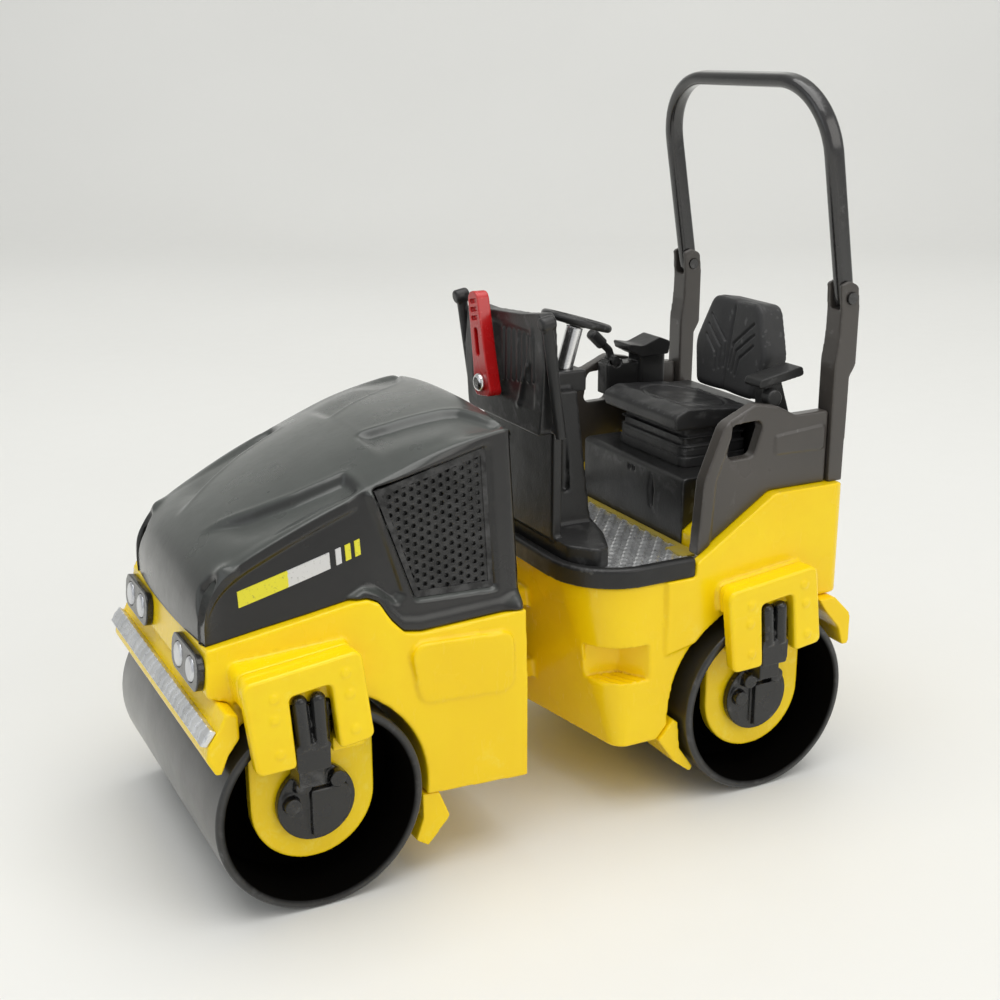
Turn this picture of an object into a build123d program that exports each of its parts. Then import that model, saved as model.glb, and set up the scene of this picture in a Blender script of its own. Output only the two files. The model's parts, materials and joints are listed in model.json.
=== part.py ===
from build123d import *
import os
from math import atan2, cos, degrees, radians, sin, sqrt

# Toy tandem road roller, 1:50 die-cast style, in millimetres.
# +X is forward (engine end), +Y is the machine's left, +Z is up.
# The origin is on the ground, under the steering pin, which is midway between the drums.

# ---- driving dimensions -------------------------------------------------------------------
WHEELBASE = 34.8
AXLE_X = WHEELBASE / 2
DRUM_R = 7.0
DRUM_HALF = 12.0
DRUM_WALL = 0.65
AXLE_Z = DRUM_R
HUB_INNER = 6.0
HUB_OUTER = 7.0
HUB_COLLAR_R = 2.0
HUB_COLLAR_END = 8.5
AXLE_R = 1.0
AXLE_HALF = 9.4
RUN_FIT = 0.06

ARCH_FRONT_R = 7.6
ARCH_REAR_R = 8.05
REAR_HALF = 11.2
FLOOR_Z = 5.5
FRONT_REAR_X = 2.3
FACE_Z = 15.0

RING_IN = 9.5
RING_OUT = 10.3
RING_R = 4.2
RING_HOLE_R = 2.4
MOTOR_R = 2.65
MOTOR_OUT = 10.9

FORK_SEAM = 11.5
FORK_IN = 12.12
FORK_OUT = 13.05
FORK_FLANGE_Z = 14.7
FRONT_FORK_SHIFT = (0.0, 0.0)
REAR_FORK_SHIFT = (-0.65, -0.4)

STEER_PIN_R = 0.9
EAR_R = 2.15
EAR_LOW = (8.0, 9.4)
EAR_HIGH = (13.8, 15.2)
LINK_Z = 11.6
LINK_GAP = 0.06
TILT_PIN_R = 1.0

TRAY_BOTTOM = 17.5
TRAY_FLOOR = 18.05
TRAY_RIM = 18.9
TRAY_FRONT = -2.2
TRAY_HALF = 11.05
TRAY_CORNER = 4.9
TREAD_TOP = 18.4
SEAT_BOX_X = -12.8
TANK_TOP = 22.75
TANK_REAR = -24.4

CHEEK_IN = 9.45
CHEEK_OUT = 10.55
ROPS_PIVOT = (-24.15, 36.2)
ROPS_LEAN = 9.7
ROPS_IN = 9.3
ROPS_OUT = 10.3
ROPS_TOP = 15.55
ROPS_DEPTH = 1.4
BRACKET_IN = 8.95
BRACKET_OUT = 10.65

WHEEL_TILT = 16.5
WHEEL_CENTRE = (-7.8, 34.3)
LEVER_PIVOT = (-1.1, 30.3)
LEVER_BACK = -1.5
LEVER_FRONT = -0.55
TRAVEL_PIVOT = (-15.95, -8.2, 29.1)


# ---- small helpers ------------------------------------------------------------------------
def box(x0, x1, y0, y1, z0, z1):
    """A block between two corners."""
    size = (x1 - x0, y1 - y0, z1 - z0)
    return Pos((x0 + x1) / 2, (y0 + y1) / 2, (z0 + z1) / 2) * Box(*size)


def slab_y(points, y0, y1, radii=0):
    """A side-view outline (x, z), with rounded corners, between two y values."""
    outline = FilletPolyline(*[(x, y0, z) for x, z in points], radius=radii, close=True)
    return extrude(make_face(outline), amount=y1 - y0, dir=(0, 1, 0))


def slab_z(points, z0, z1, radii=0):
    """A plan-view outline (x, y), with rounded corners, between two heights."""
    outline = FilletPolyline(*[(x, y, z0) for x, y in points], radius=radii, close=True)
    return extrude(make_face(outline), amount=z1 - z0, dir=(0, 0, 1))


def slab_x(points, x0, x1, radii=0):
    """A front-view outline (y, z), with rounded corners, between two x values."""
    outline = FilletPolyline(*[(x0, y, z) for y, z in points], radius=radii, close=True)
    return extrude(make_face(outline), amount=x1 - x0, dir=(1, 0, 0))


def rod(start, end, radius):
    """A round bar from one point to another."""
    start = Vector(*start)
    end = Vector(*end)
    place = Plane(origin=start, z_dir=end - start)
    bar = Cylinder(radius, (end - start).length, align=(Align.CENTER, Align.CENTER, Align.MIN))
    return place * bar


def rod_y(x, z, y0, y1, radius):
    """A round bar across the machine."""
    return rod((x, y0, z), (x, y1, z), radius)


def tube_along(points, radius, bend):
    """A round bar bent along a route of straight runs and arcs."""
    route = FilletPolyline(*points, radius=bend)
    start = Plane(origin=route @ 0, z_dir=route % 0)
    return sweep(start * Circle(radius), path=route)


def soften(part, edges, radius):
    """The part with those edges rounded."""
    return fillet(edges, radius) if len(edges) else part


def other_side(part):
    """The same piece on the machine's right-hand side."""
    return mirror(part, about=Plane.XZ)


def write(name, part):
    """One node: one STEP file."""
    part.label = name
    export_step(part, f"parts/{name}.step")


def write_pair(name, left):
    """A left piece and its mirror image."""
    write(f"{name}_left", left)
    write(f"{name}_right", other_side(left))


# ---- drums ----------------------------------------------------------------------------------
def drum_shell(x):
    """The rolled steel skin: a thin tube, open at both ends."""
    skin = rod_y(x, AXLE_Z, -DRUM_HALF, DRUM_HALF, DRUM_R)
    skin = fillet(skin.edges().filter_by(GeomType.CIRCLE), 0.22)
    return skin - rod_y(x, AXLE_Z, -DRUM_HALF - 1, DRUM_HALF + 1, DRUM_R - DRUM_WALL)


def drum_hubs(x):
    """Two web discs with collars, pressed into the skin, running on the axle."""
    web = rod_y(x, AXLE_Z, HUB_INNER, HUB_OUTER, DRUM_R - DRUM_WALL)
    collar = rod_y(x, AXLE_Z, HUB_INNER - 1, HUB_COLLAR_END, HUB_COLLAR_R)
    bore = rod_y(x, AXLE_Z, 0, DRUM_HALF, AXLE_R + RUN_FIT)
    left = (web + collar) - bore
    return Compound(children=[left, other_side(left)])


def drum_support(x, shift):
    """The yellow U-shaped plate that carries the drum motor, with two risers to the fork."""
    plate = rod_y(x, AXLE_Z, RING_IN, RING_OUT, RING_R)
    plate += box(x - RING_R, x + RING_R, RING_IN, RING_OUT, AXLE_Z, 11.35)
    for low, high in ((-2.95, -0.8), (1.95, 3.35)):
        riser_x = x + shift[0]
        plate += box(riser_x + low, riser_x + high, RING_IN, FORK_IN, 10.95, 11.85)
    return plate - rod_y(x, AXLE_Z, RING_IN - 1, RING_OUT + 1, RING_HOLE_R)


def drum_motor(x, shift):
    """The drum motor: disc, ports, hose block and two hoses standing in the fork window."""
    face = rod_y(x, AXLE_Z, RING_OUT, MOTOR_OUT, MOTOR_R)
    plug = rod_y(x, AXLE_Z, RING_IN, RING_OUT, RING_HOLE_R - 0.02)
    boss = rod_y(x, AXLE_Z, HUB_COLLAR_END + 0.1, RING_IN, 1.9)
    socket = rod_y(x, AXLE_Z, 0, AXLE_HALF, AXLE_R)
    motor = face + plug + boss - socket
    cover = rod_y(x, AXLE_Z, MOTOR_OUT, MOTOR_OUT + 0.45, 2.2)
    cover &= box(x - 2.3, x + 0.45, 10, 12, AXLE_Z - 2.3, AXLE_Z + 1.1)
    motor += cover
    for dx, dz in ((1.0, 1.55), (1.75, 0.3), (-1.35, 1.6)):
        motor += rod_y(x + dx, AXLE_Z + dz, MOTOR_OUT - 0.2, MOTOR_OUT + 0.6, 0.55)
    centre = x + 0.75 + shift[0]
    motor += box(centre - 0.85, centre + 0.85, MOTOR_OUT - 0.3, 12.4, 9.0, 10.9)
    motor += slab_y(
        [(centre - 1.1, 10.3), (centre + 1.1, 10.3), (centre + 1.15, 12.2), (centre - 1.15, 12.2)],
        11.2, 12.95, 0.25,
    )
    motor += box(centre - 1.3, centre + 1.05, 12.08, 12.4, 11.9, 14.6 + shift[1])
    for low_dx, high_dx in ((-0.62, -0.5), (0.47, 0.7)):
        low = (centre + low_dx, 12.58, 11.9)
        high = (centre + high_dx, 12.58, 14.98 + shift[1])
        motor += rod(low, high, 0.5)
        motor += Pos(*high) * Sphere(0.5)
    return motor


# ---- forks ----------------------------------------------------------------------------------
def fork_outline(x, shift, points):
    """Fork points, given from the axle, placed on one end of the machine."""
    return [(x + shift[0] + dx, z + shift[1]) for dx, z in points]


FORK_POINTS = [
    (5.2, 16.95), (-2.6, 17.85), (-3.35, 11.75), (-1.0, 11.45),
    (-0.55, 15.95), (2.2, 15.6), (1.85, 10.8), (4.45, 10.72),
]
FORK_RADII = [0.75, 0.6, 0.5, 0.3, 0.35, 0.35, 0.3, 0.55]
PAD_POINTS = [(5.0, 17.05), (-2.45, 17.85), (-2.75, FORK_FLANGE_Z), (4.8, FORK_FLANGE_Z)]
BOLT_POINTS = [(3.2, 15.75), (3.2, 14.35), (2.95, 12.0), (-1.45, 16.55), (-1.7, 15.1), (-2.0, 12.65)]


def flange_outline(x, shift):
    """The outline of the fork's top flange, whose underside stays level above the drum."""
    points = fork_outline(x, (shift[0], 0), PAD_POINTS)
    top = [(px, pz + shift[1]) for px, pz in points[:2]]
    return top + points[2:]


def fork(x, shift):
    """A yellow plate with a bottom-open window and a flange bolted to the frame side."""
    plate = slab_y(fork_outline(x, shift, FORK_POINTS), FORK_IN, FORK_OUT, FORK_RADII)
    outer = plate.faces().sort_by(Axis.Y)[-1]
    plate = fillet(outer.edges(), 0.22)
    plate += slab_y(flange_outline(x, shift), FORK_SEAM, FORK_IN, [0.6, 0.5, 0, 0])
    for px, pz in fork_outline(x, shift, BOLT_POINTS):
        plate += rod_y(px, pz, FORK_OUT - 0.3, FORK_OUT + 0.1, 0.3)
    return plate


# ---- front frame ------------------------------------------------------------------------------
FRONT_LOW_PLAN = [(2.3, 11.5), (12.0, 11.5), (17.0, 11.2), (20.5, 10.8), (24.0, 10.2)]
FRONT_HIGH_PLAN = [(2.3, 11.1), (12.0, 10.85), (17.0, 10.0), (20.5, 9.3), (24.0, 8.3)]
SKIRT_LINE = [
    (2.3, 17.6), (9.8, 17.3), (11.0, 17.5), (11.9, 18.5), (12.6, 19.7), (13.3, 20.0),
    (14.2, 19.95), (17.0, 19.35), (20.0, 18.7), (23.45, 17.9),
]


def full_plan(points, z):
    """A plan face, mirrored about the centre plane."""
    left = [(x, y, z) for x, y in points]
    right = [(x, -y, z) for x, y in reversed(points)]
    return make_face(Polyline(*left, *right, close=True))


def arch_points(x, radius, low, high):
    """Start, top and end of a wheel arch that begins and ends at two given heights."""
    start = sqrt(radius ** 2 - (low - AXLE_Z) ** 2)
    end = sqrt(radius ** 2 - (high - AXLE_Z) ** 2)
    return (x - start, low), (x, AXLE_Z + radius), (x + end, high)


def front_side_view():
    """The front frame's side view: rear bulkhead, drum arch, front beam and hood seat."""
    start, top, end = arch_points(AXLE_X, ARCH_FRONT_R, 5.9, 12.9)
    below = [(FRONT_REAR_X, FLOOR_Z), start]
    beyond = [end, (22.4, 12.9), (22.4, 14.6), (23.75, FACE_Z)] + list(reversed(SKIRT_LINE))
    lower = Polyline(*[(x, -15, z) for x, z in below])
    arc = ThreePointArc(*[(x, -15, z) for x, z in (start, top, end)])
    upper = Polyline(*[(x, -15, z) for x, z in beyond + below[:1]])
    return extrude(make_face(lower + arc + upper), amount=30, dir=(0, 1, 0))


def front_chassis():
    """The yellow front frame casting."""
    hull = loft([full_plan(FRONT_LOW_PLAN, 12.0), full_plan(FRONT_HIGH_PLAN, 20.3)], ruled=True)
    hull += extrude(full_plan(FRONT_LOW_PLAN, 5.0), amount=7.0, dir=(0, 0, 1))
    frame = hull & front_side_view()
    pad = slab_y(flange_outline(AXLE_X, FRONT_FORK_SHIFT), 9.0, FORK_SEAM - 0.03, [0.6, 0.5, 0, 0])
    panel = slab_y([(3.4, 12.2), (10.2, 12.6), (10.9, 16.8), (3.4, 16.4)], 11.0, 11.62, 0.9)
    for piece in (pad, panel):
        frame += piece
        frame += other_side(piece)
    frame -= rod((0, 0, LINK_Z), (5.0, 0, LINK_Z), TILT_PIN_R + RUN_FIT)
    frame -= box(4.4, 6.6, -2.3, 2.3, FLOOR_Z - 1, LINK_Z + 2.3)
    for y in (-7.0, 7.0):
        frame -= rod((6.2, y, FLOOR_Z - 1), (6.2, y, 14.5), 1.0)
        frame -= rod((6.2, y, 14.0), (6.2, y, 18.0), 0.5)
    return frame


HOOD_STATIONS = [
    # x, half-width at the crease, crease height, crown, half-width at the skirt
    (1.5, 9.3, 29.65, 0.55, 10.7),
    (4.0, 9.3, 29.5, 0.75, 10.7),
    (8.0, 9.2, 28.55, 0.95, 10.65),
    (12.0, 9.0, 27.1, 1.0, 10.55),
    (16.0, 8.65, 25.45, 1.0, 10.15),
    (20.0, 8.2, 23.4, 0.9, 9.35),
    (24.5, 7.7, 20.4, 0.7, 8.1),
]
HOOD_REAR = 2.25
HOOD_WALL = 0.9
HOOD_NOSE = [(23.6, 16.0), (23.4, 18.0), (22.95, 20.2), (21.9, 22.1), (20.0, 26.0), (20.0, 33.0)]
HOOD_LOW_Z = 16.5
DOME_RISE = 0.35
DOME_PLAN = [(20.6, 2.6), (13.2, 6.3), (11.0, 6.6), (3.2, 4.2)]


def hood_section(station, inset, rise):
    """One cross-section of the hood: leaning sides and a crowned top."""
    x, half, crease, crown, skirt = station
    half -= inset
    skirt -= inset
    crease += rise - inset
    low = HOOD_LOW_Z - 2 * inset
    sides = Polyline((x, half, crease), (x, skirt, low), (x, -skirt, low), (x, -half, crease))
    top = ThreePointArc((x, -half, crease), (x, 0, crease + crown), (x, half, crease))
    return make_face(sides + top)


def hood_form(inset=0.0, rise=0.0):
    """The hood's outer form, or a smaller or higher copy of it."""
    form = loft([hood_section(station, inset, rise) for station in HOOD_STATIONS])
    nose = [(x - inset, z) for x, z in HOOD_NOSE]
    cut = slab_y(nose + [(HOOD_REAR + inset, 33.0), (HOOD_REAR + inset, 14.0), (23.6 - inset, 14.0)], -15, 15)
    return form & cut


GRILLE_OUTLINE = [(12.2, 26.7), (4.2, 28.6), (4.2, 19.2), (9.9, 19.4)]
GRILLE_DEPTH = 0.6
GRILLE_FIT = 0.02
WALL_LOW = (10.7, 16.5)
WALL_HIGH = (9.2, 29.0)


def wall_block(depth, thickness, side_room=20.0):
    """A slab parallel to the hood's leaning side wall, from a depth inside it outwards."""
    lean = degrees(atan2(WALL_LOW[0] - WALL_HIGH[0], WALL_HIGH[1] - WALL_LOW[1]))
    middle_y = (WALL_LOW[0] + WALL_HIGH[0]) / 2
    middle_z = (WALL_LOW[1] + WALL_HIGH[1]) / 2
    slab = Pos(8, thickness / 2 - depth, 0) * Box(side_room, thickness, side_room)
    return Pos(0, middle_y, middle_z) * Rot(X=lean) * slab


def hood():
    """The black engine cover: a thin shell with a raised centre panel and grille pockets."""
    shell = hood_form()
    plan = [(x, y) for x, y in DOME_PLAN] + [(x, -y) for x, y in reversed(DOME_PLAN)]
    shell += hood_form(rise=DOME_RISE) & slab_z(plan, 15, 35, [1.5, 0.8, 0.5, 0.5, 0.5, 0.5, 0.8, 1.5])
    shell -= hood_form(inset=HOOD_WALL)
    bottom = [(x, z) for x, z in SKIRT_LINE]
    bottom = [(bottom[0][0] - 1, bottom[0][1])] + bottom + [(25.5, 17.4), (25.5, 12.0), (1.0, 12.0)]
    shell -= slab_y([(x, z + 0.03) for x, z in bottom], -15, 15)
    pocket = slab_y(GRILLE_OUTLINE, 6, 12, 0.3) & wall_block(GRILLE_DEPTH, 4.0)
    shell -= pocket
    shell -= other_side(pocket)
    for y in (-7.0, 7.0):
        boss = rod((6.2, y, 17.62), (6.2, y, 28.4), 1.2)
        boss -= rod((6.2, y, 17.0), (6.2, y, 20.6), 0.46)
        shell += boss
    return shell


def grille():
    """One air grille plate, seated in its pocket in the hood's side."""
    middle_x = sum(x for x, z in GRILLE_OUTLINE) / len(GRILLE_OUTLINE)
    middle_z = sum(z for x, z in GRILLE_OUTLINE) / len(GRILLE_OUTLINE)
    keep = 1 - GRILLE_FIT / 4.0
    plate = [(middle_x + (x - middle_x) * keep, middle_z + (z - middle_z) * keep) for x, z in GRILLE_OUTLINE]
    return slab_y(plate, 6, 12, 0.3) & wall_block(GRILLE_DEPTH, 0.45)


def bumper():
    """The front beam, whose lower lip also scrapes the front drum."""
    outline = [
        (22.43, 13.0), (22.43, 14.55), (23.2, 14.8), (23.8, 13.65),
        (24.45, 12.75), (24.6, 11.9), (24.05, 10.85), (23.7, 10.8), (23.2, 12.0),
    ]
    beam = slab_y(outline, -11.75, 11.75, [0, 0, 0.2, 0, 0.1, 0.3, 0.2, 0.1, 0.3])
    return beam


def bumper_strip():
    """The bright tread strip on the bumper's sloping top."""
    outline = [(23.83, 13.66), (24.47, 12.79), (24.9, 12.95), (24.2, 13.92)]
    return slab_y(outline, -11.6, 11.6, 0.05)


FACE_LEAN = degrees(atan2(23.75 - 23.45, 17.9 - FACE_Z))
LAMP_Y = 6.1


def on_face(part):
    """Place a piece, drawn on the plane x = 0, against the leaning front face."""
    return Pos(23.62, 0, 16.25) * Rot(Y=-FACE_LEAN) * part


def headlight():
    """A rounded black lamp plate with two shallow cups."""
    plate = slab_x([(-2.95, -1.2), (2.95, -1.2), (2.95, 1.2), (-2.95, 1.2)], 0.01, 0.5, 0.95)
    for y in (-1.35, 1.35):
        plate -= rod((0.25, y, 0), (1, y, 0), 0.86)
    return on_face(Pos(0, LAMP_Y, 0) * plate)


def lamp_lenses():
    """Four clear lamp glasses, domed, in the cups."""
    glasses = []
    for y in (-LAMP_Y - 1.35, -LAMP_Y + 1.35, LAMP_Y - 1.35, LAMP_Y + 1.35):
        glass = rod((0.25, y, 0), (0.62, y, 0), 0.84)
        glass = fillet(glass.edges().sort_by(Axis.X)[-1], 0.22)
        glasses.append(on_face(glass))
    return Compound(children=glasses)


def stripe():
    """A thin flat mark on the hood's side: one slanted bar and three short ones."""
    long_bar = [(21.1, 20.2), (15.3, 22.1), (15.3, 23.1), (21.1, 21.2)]
    bars = slab_y(long_bar, 6, 12)
    for step in range(3):
        x = 14.9 - 0.62 * step
        z = 22.25 + 0.2 * step
        bars += slab_y([(x, z), (x - 0.35, z + 0.12), (x - 0.35, z + 1.1), (x, z + 0.98)], 6, 12)
    return bars


def side_stripes():
    """The side marks as separate thin solids that follow the hood's surface."""
    outer = hood_form(inset=-0.08) - hood_form()
    left = stripe() & outer
    solids = list(left.solids()) + list(other_side(left).solids())
    return Compound(children=solids)


# ---- link between the frames ------------------------------------------------------------------
def joint_link():
    """The articulation block: a sleeve on the steering pin and a nose for the tilt pin."""
    low = EAR_LOW[1] + LINK_GAP
    high = EAR_HIGH[0] - LINK_GAP
    sleeve = rod((0, 0, low), (0, 0, high), 1.95)
    nose = rod((0, 0, LINK_Z), (FRONT_REAR_X - LINK_GAP, 0, LINK_Z), 1.75)
    block = sleeve + nose - rod((0, 0, 0), (0, 0, 20), STEER_PIN_R + RUN_FIT)
    return block - rod((1.2, 0, LINK_Z), (3, 0, LINK_Z), TILT_PIN_R)


def steering_pin():
    """The vertical pin, pressed in the rear frame's two ears, with a head on top."""
    shank = rod((0, 0, EAR_LOW[0]), (0, 0, EAR_HIGH[1]), STEER_PIN_R)
    head = rod((0, 0, EAR_HIGH[1]), (0, 0, EAR_HIGH[1] + 0.5), 1.5)
    return shank + fillet(head.edges().sort_by(Axis.Z)[-1], 0.2)


def tilt_pin():
    """The lengthwise pin, pressed in the link, with a head behind the front bulkhead."""
    shank = rod((1.2, 0, LINK_Z), (4.5, 0, LINK_Z), TILT_PIN_R)
    return shank + rod((4.5, 0, LINK_Z), (5.1, 0, LINK_Z), 1.8)


# ---- rear frame ---------------------------------------------------------------------------------
def apron_plan(z, front, shoulder, half, corner):
    """Plan of the rear frame's nose: a shallow V between two rounded shoulders."""
    back = -12.5
    left = [(front, 0, z), (shoulder, half, z), (back, half, z)]
    right = [(back, -half, z), (shoulder, -half, z)]
    outline = FilletPolyline(*left, *right, radius=[0, corner, 0, 0, corner], close=True)
    return make_face(outline)


def step_notch():
    """The cut for the foot step: its floor is level and its back corner points inwards."""
    return slab_z([(-3.9, 8.3), (-6.3, 8.9), (-8.2, 11.6), (-6.5, 14.0), (-1.5, 12.0)], 10.3, 13.0)


def rear_chassis():
    """The yellow rear frame casting: rounded nose, drum arch, tank and pin ears."""
    high = apron_plan(TRAY_BOTTOM - 0.02, -2.45, -2.75, 10.85, 4.6)
    low = apron_plan(FLOOR_Z, -3.3, -5.1, 11.15, 1.2)
    nose = loft([low, high], ruled=True)
    tank_view = [
        (-9.0, 12.0), (-9.0, TRAY_BOTTOM - 0.02), (-11.35, TRAY_BOTTOM - 0.02), (-11.4, 18.5),
        (-17.9, TANK_TOP), (TANK_REAR, TANK_TOP), (TANK_REAR, 14.2), (-20.0, 14.2),
    ]
    tank = slab_y(tank_view, -REAR_HALF, REAR_HALF, [0, 0, 0, 0, 1.2, 0.6, 0.5, 0])
    tank_plan = [(-8.0, -REAR_HALF), (-8.0, REAR_HALF), (TANK_REAR, REAR_HALF), (TANK_REAR, -REAR_HALF)]
    tank &= slab_z(tank_plan, 10, 30, [0, 0, 1.0, 1.0])
    frame = nose + tank
    frame -= box(SEAT_BOX_X - 0.12, -8.9, -10.3, 10.3, TRAY_BOTTOM - 0.02, 30)
    frame -= rod_y(-AXLE_X, AXLE_Z, -15, 15, ARCH_REAR_R)
    frame -= slab_y([(-8.3, 5.3), (-9.7, 6.9), (-13.0, 6.9), (-13.0, 5.0), (-8.3, 5.0)], -15, 15)
    pad = slab_y(flange_outline(-AXLE_X, REAR_FORK_SHIFT), 9.0, FORK_SEAM - 0.03, [0.6, 0.5, 0, 0])
    pad -= rod_y(-AXLE_X, AXLE_Z, 0, 15, ARCH_FRONT_R)
    notch = step_notch()
    for piece in (pad, other_side(pad)):
        frame += piece
    for piece in (notch, other_side(notch)):
        frame -= piece
    for low_z, high_z in (EAR_LOW, EAR_HIGH):
        ear = rod((0, 0, low_z), (0, 0, high_z), EAR_R)
        ear += box(-5.5, 0, -EAR_R, EAR_R, low_z, high_z)
        frame += ear - rod((0, 0, 0), (0, 0, 20), STEER_PIN_R)
    for y in (-5.0, 5.0):
        frame -= rod((-6.4, y, FLOOR_Z - 1), (-6.4, y, 14.5), 1.0)
        frame -= rod((-6.4, y, 14.0), (-6.4, y, 18.0), 0.5)
    return frame


def rear_front_scraper():
    """The blade in front of the rear drum."""
    outline = [
        (-8.52, 5.47), (-9.74, 6.87), (-10.15, 6.6), (-10.35, 4.5),
        (-11.55, 2.75), (-11.35, 2.35), (-9.9, 3.5),
    ]
    return slab_y(outline, -11.3, 11.3, [0, 0.1, 0.2, 0.4, 0.1, 0.15, 0.4])


def rear_rear_scraper():
    """The blade behind the rear drum."""
    outline = [
        (-21.9, 14.15), (-23.4, 14.15), (-24.9, 12.6), (-24.9, 10.2),
        (-24.35, 10.1), (-23.9, 11.6), (-22.7, 13.0),
    ]
    return slab_y(outline, -12.0, 12.0, [0, 0.3, 0.3, 0.15, 0.15, 0.5, 0.2])


def front_rear_scraper():
    """The blade behind the front drum."""
    outline = [(10.15, 5.85), (8.9, 5.78), (8.1, 3.8), (9.75, 1.95), (10.65, 2.55), (10.1, 4.1)]
    return slab_y(outline, -11.3, 11.3, [0, 0, 0.4, 0.15, 0.15, 0.4])


def frame_screws(x, half):
    """Two identical pan-head screws, deep in their counterbores."""
    screws = []
    for y in (-half, half):
        screw = rod((x, y, 14.05), (x, y, 14.5), 0.9) + rod((x, y, 14.5), (x, y, 19.6), 0.45)
        screw -= box(x - 0.6, x + 0.6, y - 0.12, y + 0.12, 13.9, 14.25)
        screws.append(screw)
    return Compound(children=screws)


# ---- platform -----------------------------------------------------------------------------------
def tray_plan(inset, z0, z1):
    """The platform's plan: two large rounded front corners."""
    half = TRAY_HALF - inset
    front = TRAY_FRONT - inset
    corner = TRAY_CORNER - inset
    points = [(front, -half), (front, half), (SEAT_BOX_X + 0.02, half), (SEAT_BOX_X + 0.02, -half)]
    return slab_z(points, z0, z1, [corner, corner, 0, 0])


def screw_clearance(z0, z1):
    """The two holes for the console screws."""
    return rod((-6.4, 5.0, z0), (-6.4, 5.0, z1), 0.5) + rod((-6.4, -5.0, z0), (-6.4, -5.0, z1), 0.5)


def platform_tray():
    """The black platform tray with a raised rim."""
    tray = tray_plan(0, TRAY_BOTTOM, TRAY_RIM)
    tray = soften(tray, tray.faces().sort_by(Axis.Z)[-1].edges(), 0.25)
    tray -= tray_plan(0.7, TRAY_FLOOR, TRAY_RIM + 1)
    for side in (-1, 1):
        tray -= Pos(-12.3, side * 11.2, 20) * Box(1.9, 2.4, 6)
    return tray - screw_clearance(17, 19)


def tread_plate():
    """The bright walkway plate on the tray's floor."""
    plate = tray_plan(0.75, TRAY_FLOOR, TREAD_TOP)
    for side in (-1, 1):
        plate -= Pos(-12.3, side * 11.2, 20) * Box(2.0, 2.5, 6)
    return plate - screw_clearance(17, 19)


def tread_stripe():
    """The yellow warning edge along the foot of the seat box."""
    strip = box(SEAT_BOX_X + 0.04, SEAT_BOX_X + 0.6, -7.0, 7.6, TREAD_TOP, TREAD_TOP + 0.15)
    strip += box(SEAT_BOX_X + 0.04, SEAT_BOX_X + 1.5, 7.2, 9.4, TREAD_TOP, TREAD_TOP + 0.15)
    return strip


def seat_box():
    """The black seat pedestal and the deck behind the seat, resting on the yellow tank."""
    rest = TANK_TOP + 0.02
    side_view = [
        (SEAT_BOX_X, TREAD_TOP + 0.02), (SEAT_BOX_X, 23.4), (-20.8, 23.4), (-20.8, rest),
        (-17.9, rest), (-12.9, 19.56), (-12.9, TREAD_TOP + 0.02),
    ]
    pedestal = slab_y(side_view, -7.0, 7.0)
    top_edge = pedestal.edges().filter_by(Axis.Y).group_by(Axis.Z)[-1].sort_by(Axis.X)[-1]
    pedestal = fillet(top_edge, 0.35)
    pedestal += box(-20.8, -14.6, -9.1, 9.1, rest, 22.95) - box(-17.95, -14.0, -10, 10, 20, 23.5)
    pedestal += box(-21.8, -20.8, -9.1, 9.1, rest, 26.6)
    pedestal += box(-23.9, -21.8, -8.6, 8.6, rest, 26.6)
    latch = [(2.6, 20.2), (3.0, 20.2), (3.15, 21.6), (2.9, 22.8), (2.7, 22.8), (2.45, 21.6)]
    pedestal -= slab_x(latch, SEAT_BOX_X - 0.3, -12)
    for y in (-0.25, 0.35):
        pedestal -= rod((SEAT_BOX_X - 0.3, y, 22.6), (-12, y, 22.6), 0.2)
    return pedestal


CHEEK_POINTS = [
    (-11.75, 18.77), (-12.15, 24.15), (-13.75, 28.1), (-16.45, 29.3), (-18.45, 28.9),
    (-20.05, 28.1), (-22.95, 28.15), (-22.95, TANK_TOP + 0.02), (-17.9, TANK_TOP + 0.02),
]
CHEEK_RADII = [0.0, 2.5, 1.2, 0.9, 0.8, 0.8, 0.3, 0, 0]
HOLE_POINTS = [(-14.45, 27.95), (-17.3, 28.1), (-16.4, 25.5), (-14.1, 25.45)]


def console_cheek():
    """A side wall of the operator's stand, with a grab hole and a raised front rail."""
    wall = slab_y(CHEEK_POINTS, CHEEK_IN, CHEEK_OUT - 0.15, CHEEK_RADII)
    rail_view = [(-11.0, 18.0), (-12.75, 18.0), (-13.15, 24.1), (-14.45, 27.45), (-13.75, 30), (-11.0, 30)]
    rail = wall & slab_y(rail_view, 9, 12)
    wall += Pos(0, 0.15, 0) * rail
    plate_view = [(-18.25, 25.45), (-18.25, 26.75), (-22.6, 27.1), (-22.6, 25.35)]
    plate = slab_y(plate_view, CHEEK_OUT - 0.5, CHEEK_OUT - 0.02, 0.2)
    wall += plate
    return wall - slab_y(HOLE_POINTS, 9, 12, 0.5)


def seat_base():
    """The seat's suspension: stacked, slightly stepped bellows."""
    base = None
    for step in range(4):
        inset = 0.18 * (step % 2)
        low = 23.4 + 0.75 * step
        layer = box(-20.3 + inset, -14.4 - inset, -4.6 + inset, 4.6 - inset, low, low + 0.75)
        layer = soften(layer, layer.edges().filter_by(Axis.Z), 0.7)
        base = layer if base is None else base + layer
    return base


def seat_cushion():
    """The seat cushion: a rounded block, a little higher at its front edge."""
    view = [(-13.4, 26.4), (-13.3, 27.5), (-14.6, 28.0), (-20.4, 27.5), (-20.9, 26.4)]
    cushion = slab_y(view, -5.0, 5.0, [0.3, 0.5, 0.8, 0.3, 0.2])
    return soften(cushion, cushion.edges().filter_by(Axis.Z), 1.2)


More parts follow.
